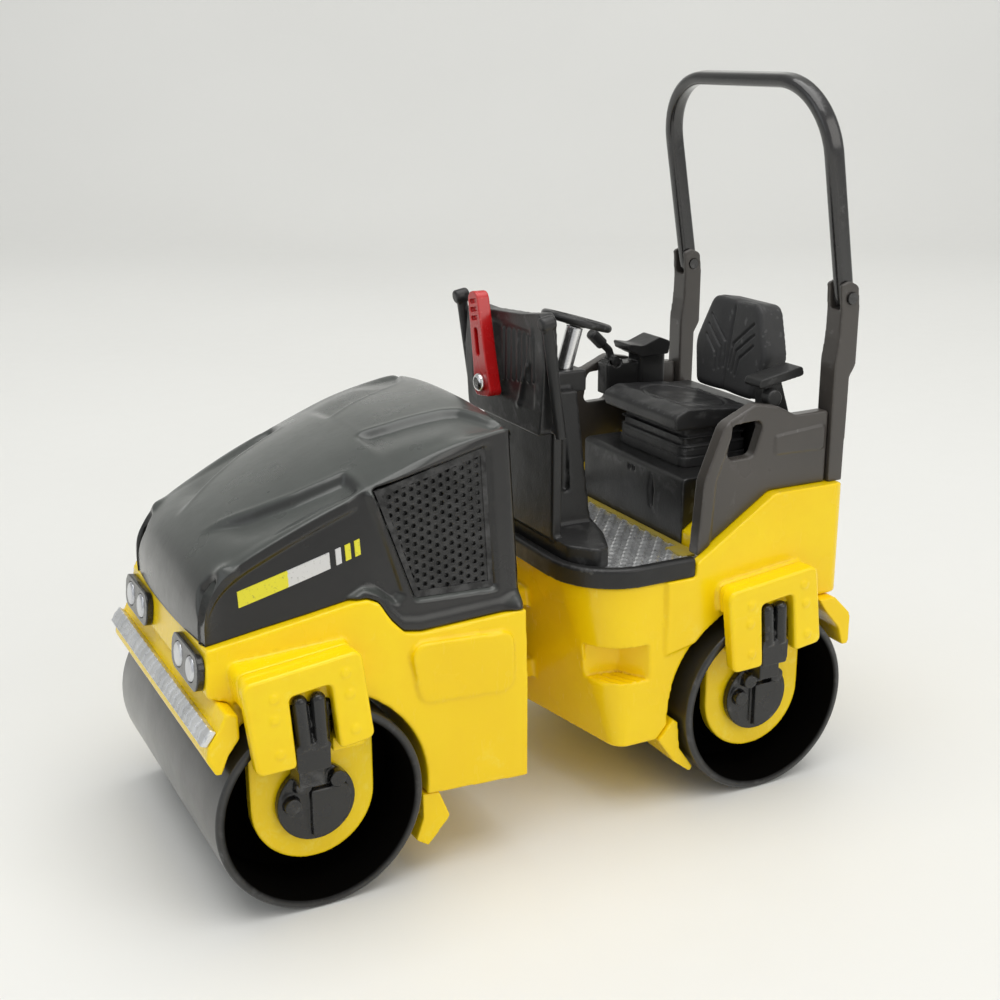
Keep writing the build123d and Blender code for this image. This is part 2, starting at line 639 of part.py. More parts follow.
def seat_back():
    """The backrest: a tall shield that leans back."""
    outline = [(-3.6, 0.0), (3.6, 0.0), (4.75, 3.3), (3.0, 7.2), (-3.0, 7.2), (-4.75, 3.3)]
    shield = slab_x(outline, -1.0, 1.0, [0.6, 0.6, 2.0, 1.2, 1.2, 2.0])
    front = shield.faces().sort_by(Axis.X)[-1]
    shield = fillet(front.edges(), 0.55)
    return Pos(-21.95, 0, 27.55) * Rot(Y=-9) * shield


def armrest_left():
    """The left armrest: a pad on a curved arm with a round knob."""
    pad = slab_y([(-18.3, 29.6), (-18.6, 30.3), (-22.3, 31.0), (-22.5, 30.3)], 6.1, 8.0, 0.25)
    arm = slab_y([(-19.2, 26.62), (-19.2, 29.9), (-20.6, 30.4), (-21.9, 26.62)], 6.5, 7.6, [0, 0.3, 0.3, 0])
    knob = rod_y(-19.6, 28.9, 7.5, 8.4, 0.65)
    return pad + arm + knob


def armrest_right():
    """The right-hand control box with its tilted pad and the travel lever's carrier."""
    x, y, z = TRAVEL_PIVOT
    tower = box(-20.5, -17.9, -9.1, -7.05, 22.98, 29.7)
    tower = soften(tower, tower.edges().filter_by(Axis.Z), 0.4)
    pad_view = [
        (-16.75, 29.95), (-16.5, 30.6), (-17.9, 30.35), (-19.5, 30.95),
        (-20.6, 30.5), (-20.4, 29.45), (-17.8, 29.4),
    ]
    pad = slab_y(pad_view, -9.1, -6.6, [0.2, 0.15, 0.8, 0.4, 0.3, 0.2, 0.4])
    carrier = box(-18.3, x + 0.9, -9.1, -7.4, 26.4, z - 0.2)
    carrier = soften(carrier, carrier.edges().filter_by(Axis.Z), 0.3)
    saddle = box(x - 0.7, x + 0.7, y - 0.6, y + 0.6, z - 0.5, z + 0.12)
    saddle -= rod_y(x, z, y - 2, y + 2, 0.42 + RUN_FIT)
    groove = rod_y(x, z, y - 2, y + 2, 0.42 + RUN_FIT)
    return tower + pad + (carrier - groove) + saddle


def travel_lever():
    """The drive lever: a cranked stick with a grip, pivoting at its foot."""
    x, y, z = TRAVEL_PIVOT
    stick = tube_along([(x, y, z), (x + 0.3, y, z + 0.85), (x + 1.5, y, z + 1.95)], 0.34, 0.4)
    grip = rod((x + 0.85, y, z + 1.3), (x + 2.05, y, z + 2.45), 0.52)
    pivot = rod_y(x, z, y - 0.65, y + 0.65, 0.42)
    return stick + fillet(grip.edges().filter_by(GeomType.CIRCLE), 0.2) + pivot


# ---- steering stand and dash ----------------------------------------------------------------------
def steering_console():
    """The steering stand: foot plate, tapered pedestal, collar and dash carrier."""
    foot_plan = [
        (-3.1, -7.2), (-3.1, 7.2), (-4.6, 9.0), (-5.6, 8.6),
        (-6.9, 5.8), (-8.2, 1.2), (-8.2, -6.0), (-7.0, -8.0),
    ]
    stand = slab_z(foot_plan, TREAD_TOP, 20.0, [0.5, 0.5, 0.4, 0.4, 0.5, 0.6, 0.8, 0.8])
    low = Pos(-5.2, 0, 19.8) * Rectangle(4.4, 6.4)
    high = Pos(-5.1, 0, 29.7) * Rectangle(3.0, 4.6)
    stand += loft([low, high])
    stand += box(-3.6, -2.9, -5.4, 5.4, 19.8, 30.2)
    stand += box(-8.0, -5.6, -1.25, 1.25, 29.3, 30.9)
    for side in (-1, 1):
        stand -= box(-5.7, -5.1, side * 3.1 - 0.6, side * 3.1 + 0.6, 22.5, 28.6)
    stand -= rod((-6.4, 5.0, 17), (-6.4, 5.0, 19.65), 0.46)
    stand -= rod((-6.4, -5.0, 17), (-6.4, -5.0, 19.65), 0.46)
    tilt = radians(WHEEL_TILT)
    x, z = WHEEL_CENTRE
    socket_x = x + 3.7 * sin(tilt)
    socket_z = z - 3.7 * cos(tilt)
    return stand - rod((socket_x, 0, socket_z), (x, 0, z), 0.62)


def dash_panel():
    """The upright instrument panel: a bowed shield with ribs on its front."""
    outline = [
        (-5.6, 27.6), (5.6, 27.6), (6.1, 32.5), (5.7, 36.2),
        (2.5, 35.7), (-2.5, 35.3), (-5.6, 35.4), (-6.1, 32.0),
    ]
    panel = slab_x(outline, -2.88, -1.75, [0.5, 0.5, 1.5, 0.7, 1.0, 1.0, 0.7, 1.5])
    for index in range(7):
        y = -0.2 + 0.75 * index
        panel += box(-1.85, -1.6, y, y + 0.3, 30.6 + 0.1 * index, 34.4)
    return panel - rod((-2.4, LEVER_PIVOT[0], LEVER_PIVOT[1]), (0, LEVER_PIVOT[0], LEVER_PIVOT[1]), 0.35)


def dash_rail(side):
    """A slim upright rail with a round knob, beside the dash panel."""
    y = side * 6.55
    post = rod((-2.85, y, 27.6), (-1.75, y, 35.4), 0.4)
    knob = rod((-1.15, y, 35.55), (-2.25, y, 35.75), 0.52)
    knob = fillet(knob.edges().filter_by(GeomType.CIRCLE), 0.2)
    foot = rod((-2.6, y - side * 1.2, 28.2), (-2.6, y, 28.2), 0.35)
    rail = post + knob + foot
    return rail - box(-2.88, -1.75, -6.12, 6.12, 27.0, 36.3)


def lever_rivet():
    """The bright domed rivet that holds the red lever to the dash."""
    y, z = LEVER_PIVOT
    pin = rod((-2.4, y, z), (LEVER_FRONT + 0.05, y, z), 0.35)
    head = rod((LEVER_FRONT + 0.05, y, z), (LEVER_FRONT + 0.4, y, z), 0.65)
    return pin + fillet(head.edges().sort_by(Axis.X)[-1], 0.28)


def red_lever():
    """The red lever: tapered, with a long slot and grip notches, leaning a little."""
    y, z = LEVER_PIVOT
    outline = [(-1.15, -0.9), (1.35, -1.1), (1.05, 1.5), (0.75, 6.5), (-0.75, 6.5), (-0.95, 1.5)]
    blade = slab_x(outline, LEVER_BACK, LEVER_FRONT, [0.5, 0.4, 0.8, 0.7, 0.7, 0.8])
    blade -= slab_x([(-0.3, 1.9), (0.3, 1.9), (0.28, 3.9), (-0.28, 3.9)], LEVER_FRONT - 0.45, 0, 0.2)
    for step in range(3):
        low = 4.45 + 0.6 * step
        notch = [(-0.5, low), (0.5, low), (0.5, low + 0.3), (-0.5, low + 0.3)]
        blade -= slab_x(notch, LEVER_FRONT - 0.2, 0, 0.1)
    blade -= rod((-3, 0, 0), (1, 0, 0), 0.35 + RUN_FIT)
    return Pos(0, y, z) * Rot(X=12) * blade


def steering_column():
    """The bright column tube, seated in the stand's collar."""
    tilt = radians(WHEEL_TILT)
    x, z = WHEEL_CENTRE
    foot = (x + 3.65 * sin(tilt), 0, z - 3.65 * cos(tilt))
    top = (x + 0.45 * sin(tilt), 0, z - 0.45 * cos(tilt))
    neck = (x - 0.15 * sin(tilt), 0, z + 0.15 * cos(tilt))
    return rod(foot, top, 0.62) + rod(top, neck, 0.34)


def steering_wheel():
    """The steering wheel: rim, three spokes and a hub, on a tilted axis."""
    rim = Torus(2.35, 0.3)
    hub = Pos(0, 0, -0.05) * Cylinder(0.75, 0.7)
    wheel = rim + hub
    for turn in (90, 210, 330):
        wheel += Rot(Z=turn) * Pos(1.3, 0, -0.05) * Box(2.0, 0.45, 0.3)
    wheel -= Pos(0, 0, -0.2) * Cylinder(0.4, 0.8)
    x, z = WHEEL_CENTRE
    return Pos(x, 0, z) * Rot(Y=-WHEEL_TILT) * wheel


# ---- roll bar ---------------------------------------------------------------------------------------
def rops_bracket():
    """A lower roll-bar bracket whose top is a clevis for the folding hoop."""
    outline = [
        (-23.1, TANK_TOP + 0.02), (-23.05, 29.4), (-23.05, 31.6), (-23.3, 33.3), (-23.35, 35.2),
        (-23.2, 37.2), (-23.9, 37.45), (-24.75, 37.05), (-24.93, 35.7), (-24.93, 31.3),
        (-24.45, 30.5), (-24.35, TANK_TOP + 0.02),
    ]
    radii = [0, 0.5, 0.8, 0.8, 0.8, 0.15, 0.2, 0.4, 0.5, 0.35, 0.35, 0]
    post = slab_y(outline, BRACKET_IN, BRACKET_OUT, radii)
    x, z = ROPS_PIVOT
    post -= box(-26, -20, ROPS_IN - 0.04, ROPS_OUT + 0.04, z - ROPS_DEPTH / 2 - 0.12, 40)
    return post - rod_y(x, z, 5, 15, 0.4)


def rops_pins():
    """The two knee pins, pressed in the brackets."""
    x, z = ROPS_PIVOT
    pin = rod_y(x, z, BRACKET_IN - 0.05, BRACKET_OUT + 0.15, 0.4)
    return Compound(children=[pin, other_side(pin)])


def rops_hoop():
    """The folding hoop: a rounded arch of flat bar."""
    low = -ROPS_DEPTH / 2
    outer = [(-ROPS_OUT, low), (-ROPS_OUT, ROPS_TOP), (ROPS_OUT, ROPS_TOP), (ROPS_OUT, low)]
    inner_top = ROPS_TOP - (ROPS_OUT - ROPS_IN)
    inner = [(-ROPS_IN, low - 1), (-ROPS_IN, inner_top), (ROPS_IN, inner_top), (ROPS_IN, low - 1)]
    half = ROPS_DEPTH / 2
    hoop = slab_x(outer, -half, half, [0, 5.5, 5.5, 0]) - slab_x(inner, -half - 1, half + 1, [0, 4.5, 4.5, 0])
    long_edges = [
        edge for edge in hoop.edges()
        if edge.center().Z > low + 0.5 and abs(abs(edge.center().X) - half) < 0.01
    ]
    hoop = fillet(long_edges, 0.4)
    foot = rod_y(0, 0, -ROPS_OUT - 1, ROPS_OUT + 1, half)
    hoop &= foot + box(-half, half, -12, 12, 0, 20)
    hoop -= rod_y(0, 0, -15, 15, 0.4 + RUN_FIT)
    x, z = ROPS_PIVOT
    return Pos(x, 0, z) * Rot(Y=ROPS_LEAN) * hoop


# ---- every node ---------------------------------------------------------------------------------------
def write_drum_set(end, x, shift):
    """Everything that belongs to one drum."""
    write(f"{end}_drum_shell", drum_shell(x))
    write(f"{end}_drum_hubs", drum_hubs(x))
    write(f"{end}_axle", rod_y(x, AXLE_Z, -AXLE_HALF, AXLE_HALF, AXLE_R))
    write_pair(f"{end}_drum_support", drum_support(x, shift))
    write_pair(f"{end}_drum_motor", drum_motor(x, shift))
    write_pair(f"{end}_fork", fork(x, shift))


def main():
    os.makedirs("parts", exist_ok=True)
    write_drum_set("front", AXLE_X, FRONT_FORK_SHIFT)
    write_drum_set("rear", -AXLE_X, REAR_FORK_SHIFT)
    write("front_chassis", front_chassis())
    write("hood", hood())
    write_pair("grille", grille())
    write("bumper", bumper())
    write("bumper_strip", bumper_strip())
    write_pair("headlight", headlight())
    write("lamp_lenses", lamp_lenses())
    write("side_stripes", side_stripes())
    write("front_scraper", front_rear_scraper())
    write("hood_screws", frame_screws(6.2, 7.0))
    write("joint_link", joint_link())
    write("steering_pin", steering_pin())
    write("tilt_pin", tilt_pin())
    write("rear_chassis", rear_chassis())
    write("rear_scraper_front", rear_front_scraper())
    write("rear_scraper_rear", rear_rear_scraper())
    write("console_screws", frame_screws(-6.4, 5.0))
    write("platform_tray", platform_tray())
    write("tread_plate", tread_plate())
    write("tread_stripe", tread_stripe())
    write("seat_box", seat_box())
    write_pair("console_cheek", console_cheek())
    write("seat_base", seat_base())
    write("seat_cushion", seat_cushion())
    write("seat_back", seat_back())
    write("armrest_left", armrest_left())
    write("armrest_right", armrest_right())
    write("travel_lever", travel_lever())
    write("steering_console", steering_console())
    write("dash_panel", dash_panel())
    write("dash_rails", dash_rail(1) + dash_rail(-1))
    write("lever_rivet", lever_rivet())
    write("red_lever", red_lever())
    write("steering_column", steering_column())
    write("steering_wheel", steering_wheel())
    write_pair("rops_bracket", rops_bracket())
    write("rops_pins", rops_pins())
    write("rops_hoop", rops_hoop())


main()
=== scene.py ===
import json
import math

import bmesh
import bpy
import numpy as np
from mathutils import Matrix, Vector


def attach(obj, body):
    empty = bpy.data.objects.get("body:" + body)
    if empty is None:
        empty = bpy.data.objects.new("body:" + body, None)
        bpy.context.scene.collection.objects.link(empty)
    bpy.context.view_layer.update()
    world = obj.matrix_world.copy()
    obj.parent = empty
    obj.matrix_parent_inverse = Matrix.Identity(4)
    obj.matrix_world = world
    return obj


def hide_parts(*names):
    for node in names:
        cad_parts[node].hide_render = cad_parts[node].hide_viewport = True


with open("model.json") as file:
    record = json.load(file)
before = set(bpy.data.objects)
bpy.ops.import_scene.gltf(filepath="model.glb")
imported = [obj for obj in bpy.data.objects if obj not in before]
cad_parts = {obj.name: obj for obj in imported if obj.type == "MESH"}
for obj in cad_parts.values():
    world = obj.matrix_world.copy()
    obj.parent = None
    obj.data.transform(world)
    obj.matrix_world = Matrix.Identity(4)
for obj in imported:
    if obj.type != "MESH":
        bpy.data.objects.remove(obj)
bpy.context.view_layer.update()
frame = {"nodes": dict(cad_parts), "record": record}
MM = 0.001
NODES = frame["nodes"]
BODY_OF = {node: body for body, nodes in frame["record"]["behaviour"]["bodies"].items() for node in nodes}
SLOT_OF = {row["node"]: row["material_slot"] for row in frame["record"]["subparts"]}

# Millimetres, in the frame's axes: +X is forward, +Y the left side, Z up from the ground.
AXLE_X = 17.4                 # both axles, ahead of and behind the middle
DRUM_RADIUS = 7.0             # also the height of the axles
DRUM_INNER = 6.36
DRUM_HALF_WIDTH = 12.0
STRIPE_PALE = (14.45, 18.1)   # where the side stripe is grey instead of yellow


# ---- materials ------------------------------------------------------------------------------
class Graph:
    """A thin wrapper that makes node trees readable."""

    def __init__(self, name):
        self.material = bpy.data.materials.new(name)
        self.material.use_nodes = True
        self.tree = self.material.node_tree
        self.tree.nodes.clear()
        self.out = self.add("ShaderNodeOutputMaterial")
        self.shader = self.add("ShaderNodeBsdfPrincipled")
        self.link(self.shader.outputs[0], self.out.inputs[0])
        self.place = self.add("ShaderNodeTexCoord").outputs["Object"]

    def add(self, kind, **values):
        node = self.tree.nodes.new(kind)
        for key, value in values.items():
            setattr(node, key, value)
        return node

    def link(self, source, target):
        self.tree.links.new(source, target)

    def feed(self, socket, value):
        if isinstance(value, bpy.types.NodeSocket):
            self.link(value, socket)
        elif isinstance(value, (tuple, list)) and len(value) == 3 and socket.type == "RGBA":
            socket.default_value = (*value, 1.0)
        else:
            socket.default_value = value

    def set(self, **values):
        for key, value in values.items():
            self.feed(self.shader.inputs[key.replace("_", " ")], value)

    def math(self, kind, a, b=0.5):
        node = self.add("ShaderNodeMath", operation=kind)
        self.feed(node.inputs[0], a)
        self.feed(node.inputs[1], b)
        return node.outputs[0]

    def noise(self, size_mm, detail=3.0, rough=0.5, stretch=None):
        node = self.add("ShaderNodeTexNoise")
        node.inputs["Scale"].default_value = 1.0 / (size_mm * MM)
        node.inputs["Detail"].default_value = detail
        node.inputs["Roughness"].default_value = rough
        source = self.place
        if stretch:
            mapping = self.add("ShaderNodeMapping")
            mapping.inputs["Scale"].default_value = stretch
            self.link(self.place, mapping.inputs["Vector"])
            source = mapping.outputs[0]
        self.link(source, node.inputs["Vector"])
        return node.outputs["Fac"]

    def ramp(self, fac, low, high, to_low=0.0, to_high=1.0):
        node = self.add("ShaderNodeMapRange", clamp=True)
        self.feed(node.inputs["Value"], fac)
        node.inputs["From Min"].default_value = low
        node.inputs["From Max"].default_value = high
        node.inputs["To Min"].default_value = to_low
        node.inputs["To Max"].default_value = to_high
        return node.outputs[0]

    def mix(self, fac, a, b):
        node = self.add("ShaderNodeMix", data_type="RGBA")
        colour_a, colour_b, colour_out = node.inputs[6], node.inputs[7], node.outputs[2]
        self.feed(node.inputs["Factor"], fac)
        self.feed(colour_a, a)
        self.feed(colour_b, b)
        return colour_out

    def bump(self, height, distance_mm, strength):
        node = self.add("ShaderNodeBump")
        node.inputs["Strength"].default_value = strength
        node.inputs["Distance"].default_value = distance_mm * MM
        self.feed(node.inputs["Height"], height)
        return node.outputs[0]

    def axes(self, vector):
        split = self.add("ShaderNodeSeparateXYZ")
        self.link(vector, split.inputs[0])
        return split.outputs

    def edge_mask(self):
        """1 on outer edges of finely meshed pieces, 0 on flat areas."""
        return self.ramp(self.add("ShaderNodeNewGeometry").outputs["Pointiness"], 0.515, 0.57)

    def hollow_mask(self):
        """1 in inner corners and grooves of finely meshed pieces, 0 in the open."""
        return self.ramp(self.add("ShaderNodeNewGeometry").outputs["Pointiness"], 0.485, 0.43)

    def top_sheen_mask(self):
        """Where a painted sheen lies: 1 on level tops, 0 on upright faces."""
        upright = self.axes(self.add("ShaderNodeNewGeometry").outputs["Normal"])[2]
        cloud = self.ramp(self.noise(3.0, 4.0, 0.6), 0.3, 0.7, 0.8, 1.0)
        return self.math("MULTIPLY", self.ramp(upright, 0.2, 0.8), cloud)

    def outside_drum(self):
        """0 inside a drum shell, where the paint is darkened as painted shade and left without coat or shine,
        1 on its rolling face.
        """
        along, _, up = self.axes(self.place)
        x = self.math("SUBTRACT", self.math("ABSOLUTE", along), AXLE_X * MM)
        z = self.math("SUBTRACT", up, DRUM_RADIUS * MM)
        span = self.math("ADD", self.math("MULTIPLY", x, x), self.math("MULTIPLY", z, z))
        return self.ramp(self.math("SQRT", span), (DRUM_INNER + 0.04) * MM, (DRUM_RADIUS - 0.3) * MM)


def enamel(name, colour, shade, painted_shade, edge, rough, peel=0.012, coat=0.5, edge_wear_and_highlight=0.35, base_shine=0.4,
           inside=False, top_sheen=None):
    """Sprayed paint: painted shade in the seams, a little orange peel, and paler edges, partly worn and
    partly a painted highlight.

    inside paints shade within a drum shell and takes away its coat and shine; the last argument is the colour
    of a painted sheen on level tops.
    """
    g = Graph(name)
    broad = g.ramp(g.noise(9.0, 2.0), 0.35, 0.68)
    base = g.mix(broad, colour, shade)
    fine = g.ramp(g.noise(1.1, 4.0, 0.6), 0.45, 0.7, 0.0, 0.35)
    base = g.mix(fine, base, shade)
    # Painted shade: inner corners and grooves are made darker.
    base = g.mix(g.math("MULTIPLY", g.hollow_mask(), 0.55), base, painted_shade)
    # Paler edges: partly wear, partly a painted highlight.
    worn_and_lit_edge = g.math("MULTIPLY", g.edge_mask(), g.ramp(g.noise(0.9, 5.0, 0.65), 0.5, 0.66))
    base = g.mix(g.math("MULTIPLY", worn_and_lit_edge, edge_wear_and_highlight), base, edge)
    scuff = g.ramp(g.noise(0.35, 3.0, 0.7, (1.0, 1.0, 0.18)), 0.6, 0.75, 0.0, 0.1)
    roughness = g.math("ADD", g.ramp(g.noise(4.0, 3.0), 0.3, 0.7, rough * 0.8, rough * 1.35), scuff)
    peel_height = g.math("ADD", g.noise(0.7, 2.0), g.math("MULTIPLY", g.noise(0.12, 2.0), 0.12))
    # Painted sheen: a paler colour is laid on level tops.
    if top_sheen:
        base = g.mix(g.top_sheen_mask(), base, top_sheen)
    # Painted shade inside a drum shell: the darker colour, with no coat or shine.
    if inside:
        open_side = g.outside_drum()
        base = g.mix(open_side, painted_shade, base)
        coat = g.math("MULTIPLY", open_side, coat)
        base_shine = g.math("MULTIPLY", open_side, base_shine)
    normal = g.bump(peel_height, peel, 0.5)
    g.set(Base_Color=base, Roughness=roughness, IOR=1.5, Specular_IOR_Level=base_shine, Normal=normal)
    g.set(Coat_Weight=coat, Coat_Roughness=rough * 0.8, Coat_Normal=normal)
    return g.material


def moulded(name, colour, shade, rough, edge=(0.1, 0.1, 0.1), coat=0.0):
    """Moulded plastic with a fine grain, faint flow marks, dust in the corners, and paler edges that are
    partly rubbed and partly a painted highlight.
    """
    g = Graph(name)
    base = g.mix(g.ramp(g.noise(5.0, 3.0), 0.35, 0.7), colour, shade)
    dust = g.math("MULTIPLY", g.hollow_mask(), g.ramp(g.noise(0.6, 4.0), 0.4, 0.7, 0.0, 0.22))
    base = g.mix(dust, base, tuple(min(1.0, c * 3 + 0.03) for c in colour))
    # Paler edges: partly rubbed, partly a painted highlight.
    worn_and_lit_edge = g.math("MULTIPLY", g.edge_mask(), g.ramp(g.noise(0.8, 5.0, 0.6), 0.4, 0.62))
    base = g.mix(g.math("MULTIPLY", worn_and_lit_edge, 0.5), base, edge)
    roughness = g.ramp(g.noise(2.2, 4.0, 0.6), 0.3, 0.7, rough * 0.8, rough * 1.25)
    height = g.math("ADD", g.math("MULTIPLY", g.noise(0.13, 2.0), 0.5), g.noise(0.9, 2.0))
    g.set(Base_Color=base, Roughness=roughness, Specular_IOR_Level=0.35, Normal=g.bump(height, 0.05, 0.4))
    g.set(Coat_Weight=coat, Coat_Roughness=0.2)
    return g.material


def metal(name, colour, shade, rough, metallic=1.0):
    """Bare or plated metal: cloudy reflectance, tiny scratches, darker joints."""
    g = Graph(name)
    base = g.mix(g.ramp(g.noise(2.0, 4.0), 0.35, 0.7), colour, shade)
    base = g.mix(g.math("MULTIPLY", g.hollow_mask(), 0.7), base, tuple(c * 0.25 for c in colour))
    scratch = g.noise(0.16, 4.0, 0.7, stretch=(1.0, 0.25, 1.0))
    roughness = g.ramp(scratch, 0.3, 0.75, rough * 0.7, rough * 1.6)
    g.set(Base_Color=base, Metallic=metallic, Roughness=roughness, Normal=g.bump(scratch, 0.02, 0.5))
    return g.material


def printed(name):
    """Printed bars: yellow at both ends, pale grey between, with thin and broken ink."""
    g = Graph(name)
    rear, front, fade = STRIPE_PALE[0] * MM, STRIPE_PALE[1] * MM, 0.05 * MM
    x = g.math("ADD", g.axes(g.place)[0], g.math("MULTIPLY", g.noise(0.25, 2.0), 0.2 * MM))
    pale = g.math("MULTIPLY", g.ramp(x, rear, rear + fade), g.ramp(x, front, front - fade))
    ink = g.mix(pale, (0.74, 0.68, 0.03), (0.62, 0.62, 0.62))
    thin = g.ramp(g.noise(0.2, 3.0, 0.7), 0.6, 0.72)
    g.set(Base_Color=g.mix(g.math("MULTIPLY", thin, 0.6), ink, (0.1, 0.1, 0.08)))
    g.set(Roughness=g.ramp(g.noise(1.0, 3.0), 0.3, 0.7, 0.3, 0.5))
    g.set(Normal=g.bump(g.noise(0.15, 2.0), 0.01, 0.4))
    return g.material


MATERIALS = {
    "body_yellow": enamel("enamel_yellow", (0.95, 0.68, 0.004), (0.91, 0.61, 0.003), (0.55, 0.26, 0.001),
                          edge=(1.0, 0.8, 0.1), rough=0.22, peel=0.03, coat=0.35, base_shine=0.2),
    "hood_black": enamel("enamel_black", (0.008, 0.0078, 0.0075), (0.013, 0.0125, 0.012),
                         (0.003, 0.003, 0.003), edge=(0.07, 0.06, 0.05), rough=0.3, peel=0.02,
                         coat=1.0, edge_wear_and_highlight=0.5, base_shine=0.1, top_sheen=(0.062, 0.068, 0.063)),
    "drum_black": enamel("drum_black", (0.012, 0.012, 0.012), (0.018, 0.018, 0.018),
                         (0.0025, 0.0023, 0.002), edge=(0.09, 0.09, 0.09), rough=0.36, coat=1.0, edge_wear_and_highlight=0.7,
                         base_shine=0.15, inside=True),
    "frame_grey": enamel("frame_grey", (0.05, 0.045, 0.04), (0.062, 0.055, 0.049), (0.012, 0.01, 0.009),
                         edge=(0.14, 0.13, 0.13), rough=0.33, coat=0.7, edge_wear_and_highlight=0.5, base_shine=0.2),
    "hoop_black": enamel("hoop_black", (0.016, 0.016, 0.016), (0.024, 0.023, 0.023), (0.006, 0.006, 0.006),
                         edge=(0.11, 0.11, 0.11), rough=0.2, coat=1.0, edge_wear_and_highlight=0.6, base_shine=0.2),
    "lever_red": enamel("lever_red", (0.56, 0.006, 0.008), (0.48, 0.005, 0.006), (0.2, 0.002, 0.002),
                        edge=(0.75, 0.08, 0.07), rough=0.24, edge_wear_and_highlight=0.4),
    "grille_black": moulded("grille_black", (0.012, 0.012, 0.012), (0.02, 0.02, 0.02), rough=0.4),
    "hydraulic_black": moulded("hydraulic_black", (0.008, 0.008, 0.008), (0.014, 0.014, 0.014), rough=0.26,
                               coat=0.4),
    "trim_black": moulded("trim_black", (0.013, 0.013, 0.013), (0.021, 0.021, 0.021), rough=0.36,
                          edge=(0.09, 0.09, 0.09), coat=0.1),
    "lamp_housing": moulded("lamp_housing", (0.012, 0.012, 0.013), (0.02, 0.02, 0.02), rough=0.22, coat=0.5),
    "tread_yellow": moulded("tread_yellow", (0.42, 0.31, 0.03), (0.34, 0.25, 0.02), rough=0.5,
                            edge=(0.3, 0.26, 0.1)),
    "seat_grey": moulded("seat_grey", (0.03, 0.03, 0.031), (0.04, 0.04, 0.04), rough=0.45,
                         edge=(0.12, 0.12, 0.12)),
    "seat_cushion": moulded("seat_cushion", (0.014, 0.014, 0.015), (0.022, 0.022, 0.022), rough=0.38,
                            edge=(0.09, 0.09, 0.09), coat=0.1),
    "axle_steel": metal("axle_steel", (0.55, 0.55, 0.55), (0.42, 0.42, 0.42), rough=0.35),
    "strip_silver": metal("strip_silver", (0.86, 0.87, 0.88), (0.62, 0.63, 0.64), rough=0.3, metallic=0.85),
    "bright_metal": metal("bright_metal", (0.86, 0.86, 0.86), (0.7, 0.7, 0.7), rough=0.16),
    "lamp_clear": metal("lamp_clear", (0.72, 0.73, 0.75), (0.52, 0.53, 0.56), rough=0.12, metallic=0.7),
    "stripe_white": printed("stripe_white"),
}
for node, thing in NODES.items():
    thing.data.materials.clear()
    thing.data.materials.append(MATERIALS[SLOT_OF[node]])


# ---- shape helpers --------------------------------------------------------------------------
def smooth_step(value, width):
    """0 below zero, 1 above width, eased between."""
    t = np.clip(value / width, 0.0, 1.0)
    return t * t * (3.0 - 2.0 * t)


def line_distance(px, py, line):
    """Distance to an open polyline."""
    best = np.full(px.shape, 1e9)
    for (ax, ay), (bx, by) in zip(line, line[1:]):
        dx, dy = bx - ax, by - ay
        t = np.clip(((px - ax) * dx + (py - ay) * dy) / (dx * dx + dy * dy), 0.0, 1.0)
        best = np.minimum(best, np.hypot(px - ax - t * dx, py - ay - t * dy))
    return best


def signed_distance(px, py, polygon):
    """Distance to a polygon's outline, positive inside it."""
    inside = np.zeros(px.shape, bool)
    for (ax, ay), (bx, by) in zip(polygon, polygon[1:] + polygon[:1]):
        if ay != by:
            inside ^= ((ay > py) != (by > py)) & (px < ax + (py - ay) / (by - ay) * (bx - ax))
    best = line_distance(px, py, polygon + polygon[:1])
    return np.where(inside, best, -best)


def bell(value, middle, width):
    """1 at the middle, falling off smoothly on both sides."""
    return np.exp(-(((value - middle) / width) ** 2))


def groove(distance, width, depth):
    """A rounded groove along a line."""
    return -depth * (1.0 - smooth_step(distance, width))


def piece(name, points, faces, body, slot, replaces, flat=False):
    """A finished mesh (points in millimetres) that rides on a body."""
    data = bpy.data.meshes.new(name)
    data.from_pydata([tuple(float(c) * MM for c in p) for p in points], [], faces)
    work = bmesh.new()
    work.from_mesh(data)
    bmesh.ops.recalc_face_normals(work, faces=work.faces)
    work.to_mesh(data)
    work.free()
    thing = bpy.data.objects.new(name, data)
    bpy.context.collection.objects.link(thing)
    for face in data.polygons:
        face.use_smooth = not flat
    data.materials.append(MATERIALS[slot])
    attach(thing, body)
    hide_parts(*replaces)


def ring_faces(rings, count):
    """Faces between rings of points, each joined to the next and the last to the first."""
    faces = []
    for ring in range(rings):
        here, after = ring * count, (ring + 1) % rings * count
        for i in range(count):
            j = (i + 1) % count
            faces.append((here + i, here + j, after + j, after + i))
    return faces


def join_meshes(parts):
    """Several (points, faces) lists as one."""
    points, faces = [], []
    for more_points, more_faces in parts:
        base = len(points)
        points += list(more_points)
        faces += [tuple(i + base for i in face) for face in more_faces]
    return points, faces


def evaluated(thing):
    """A new mesh with the object's modifiers applied."""
    return bpy.data.meshes.new_from_object(thing.evaluated_get(bpy.context.evaluated_depsgraph_get()))


def raise_along_normals(mesh, relief):
    """Moves each point along its normal by what relief(points, normals) returns, in millimetres."""
    flat = np.empty(len(mesh.vertices) * 3)
    mesh.vertices.foreach_get("co", flat)
    points = flat.reshape(-1, 3)
    flat = np.empty(len(mesh.vertices) * 3)
    mesh.vertex_normals.foreach_get("vector", flat)
    normals = flat.reshape(-1, 3)
    points = points + normals * relief(points, normals)[:, None]
    mesh.vertices.foreach_set("co", points.ravel())
    mesh.update()


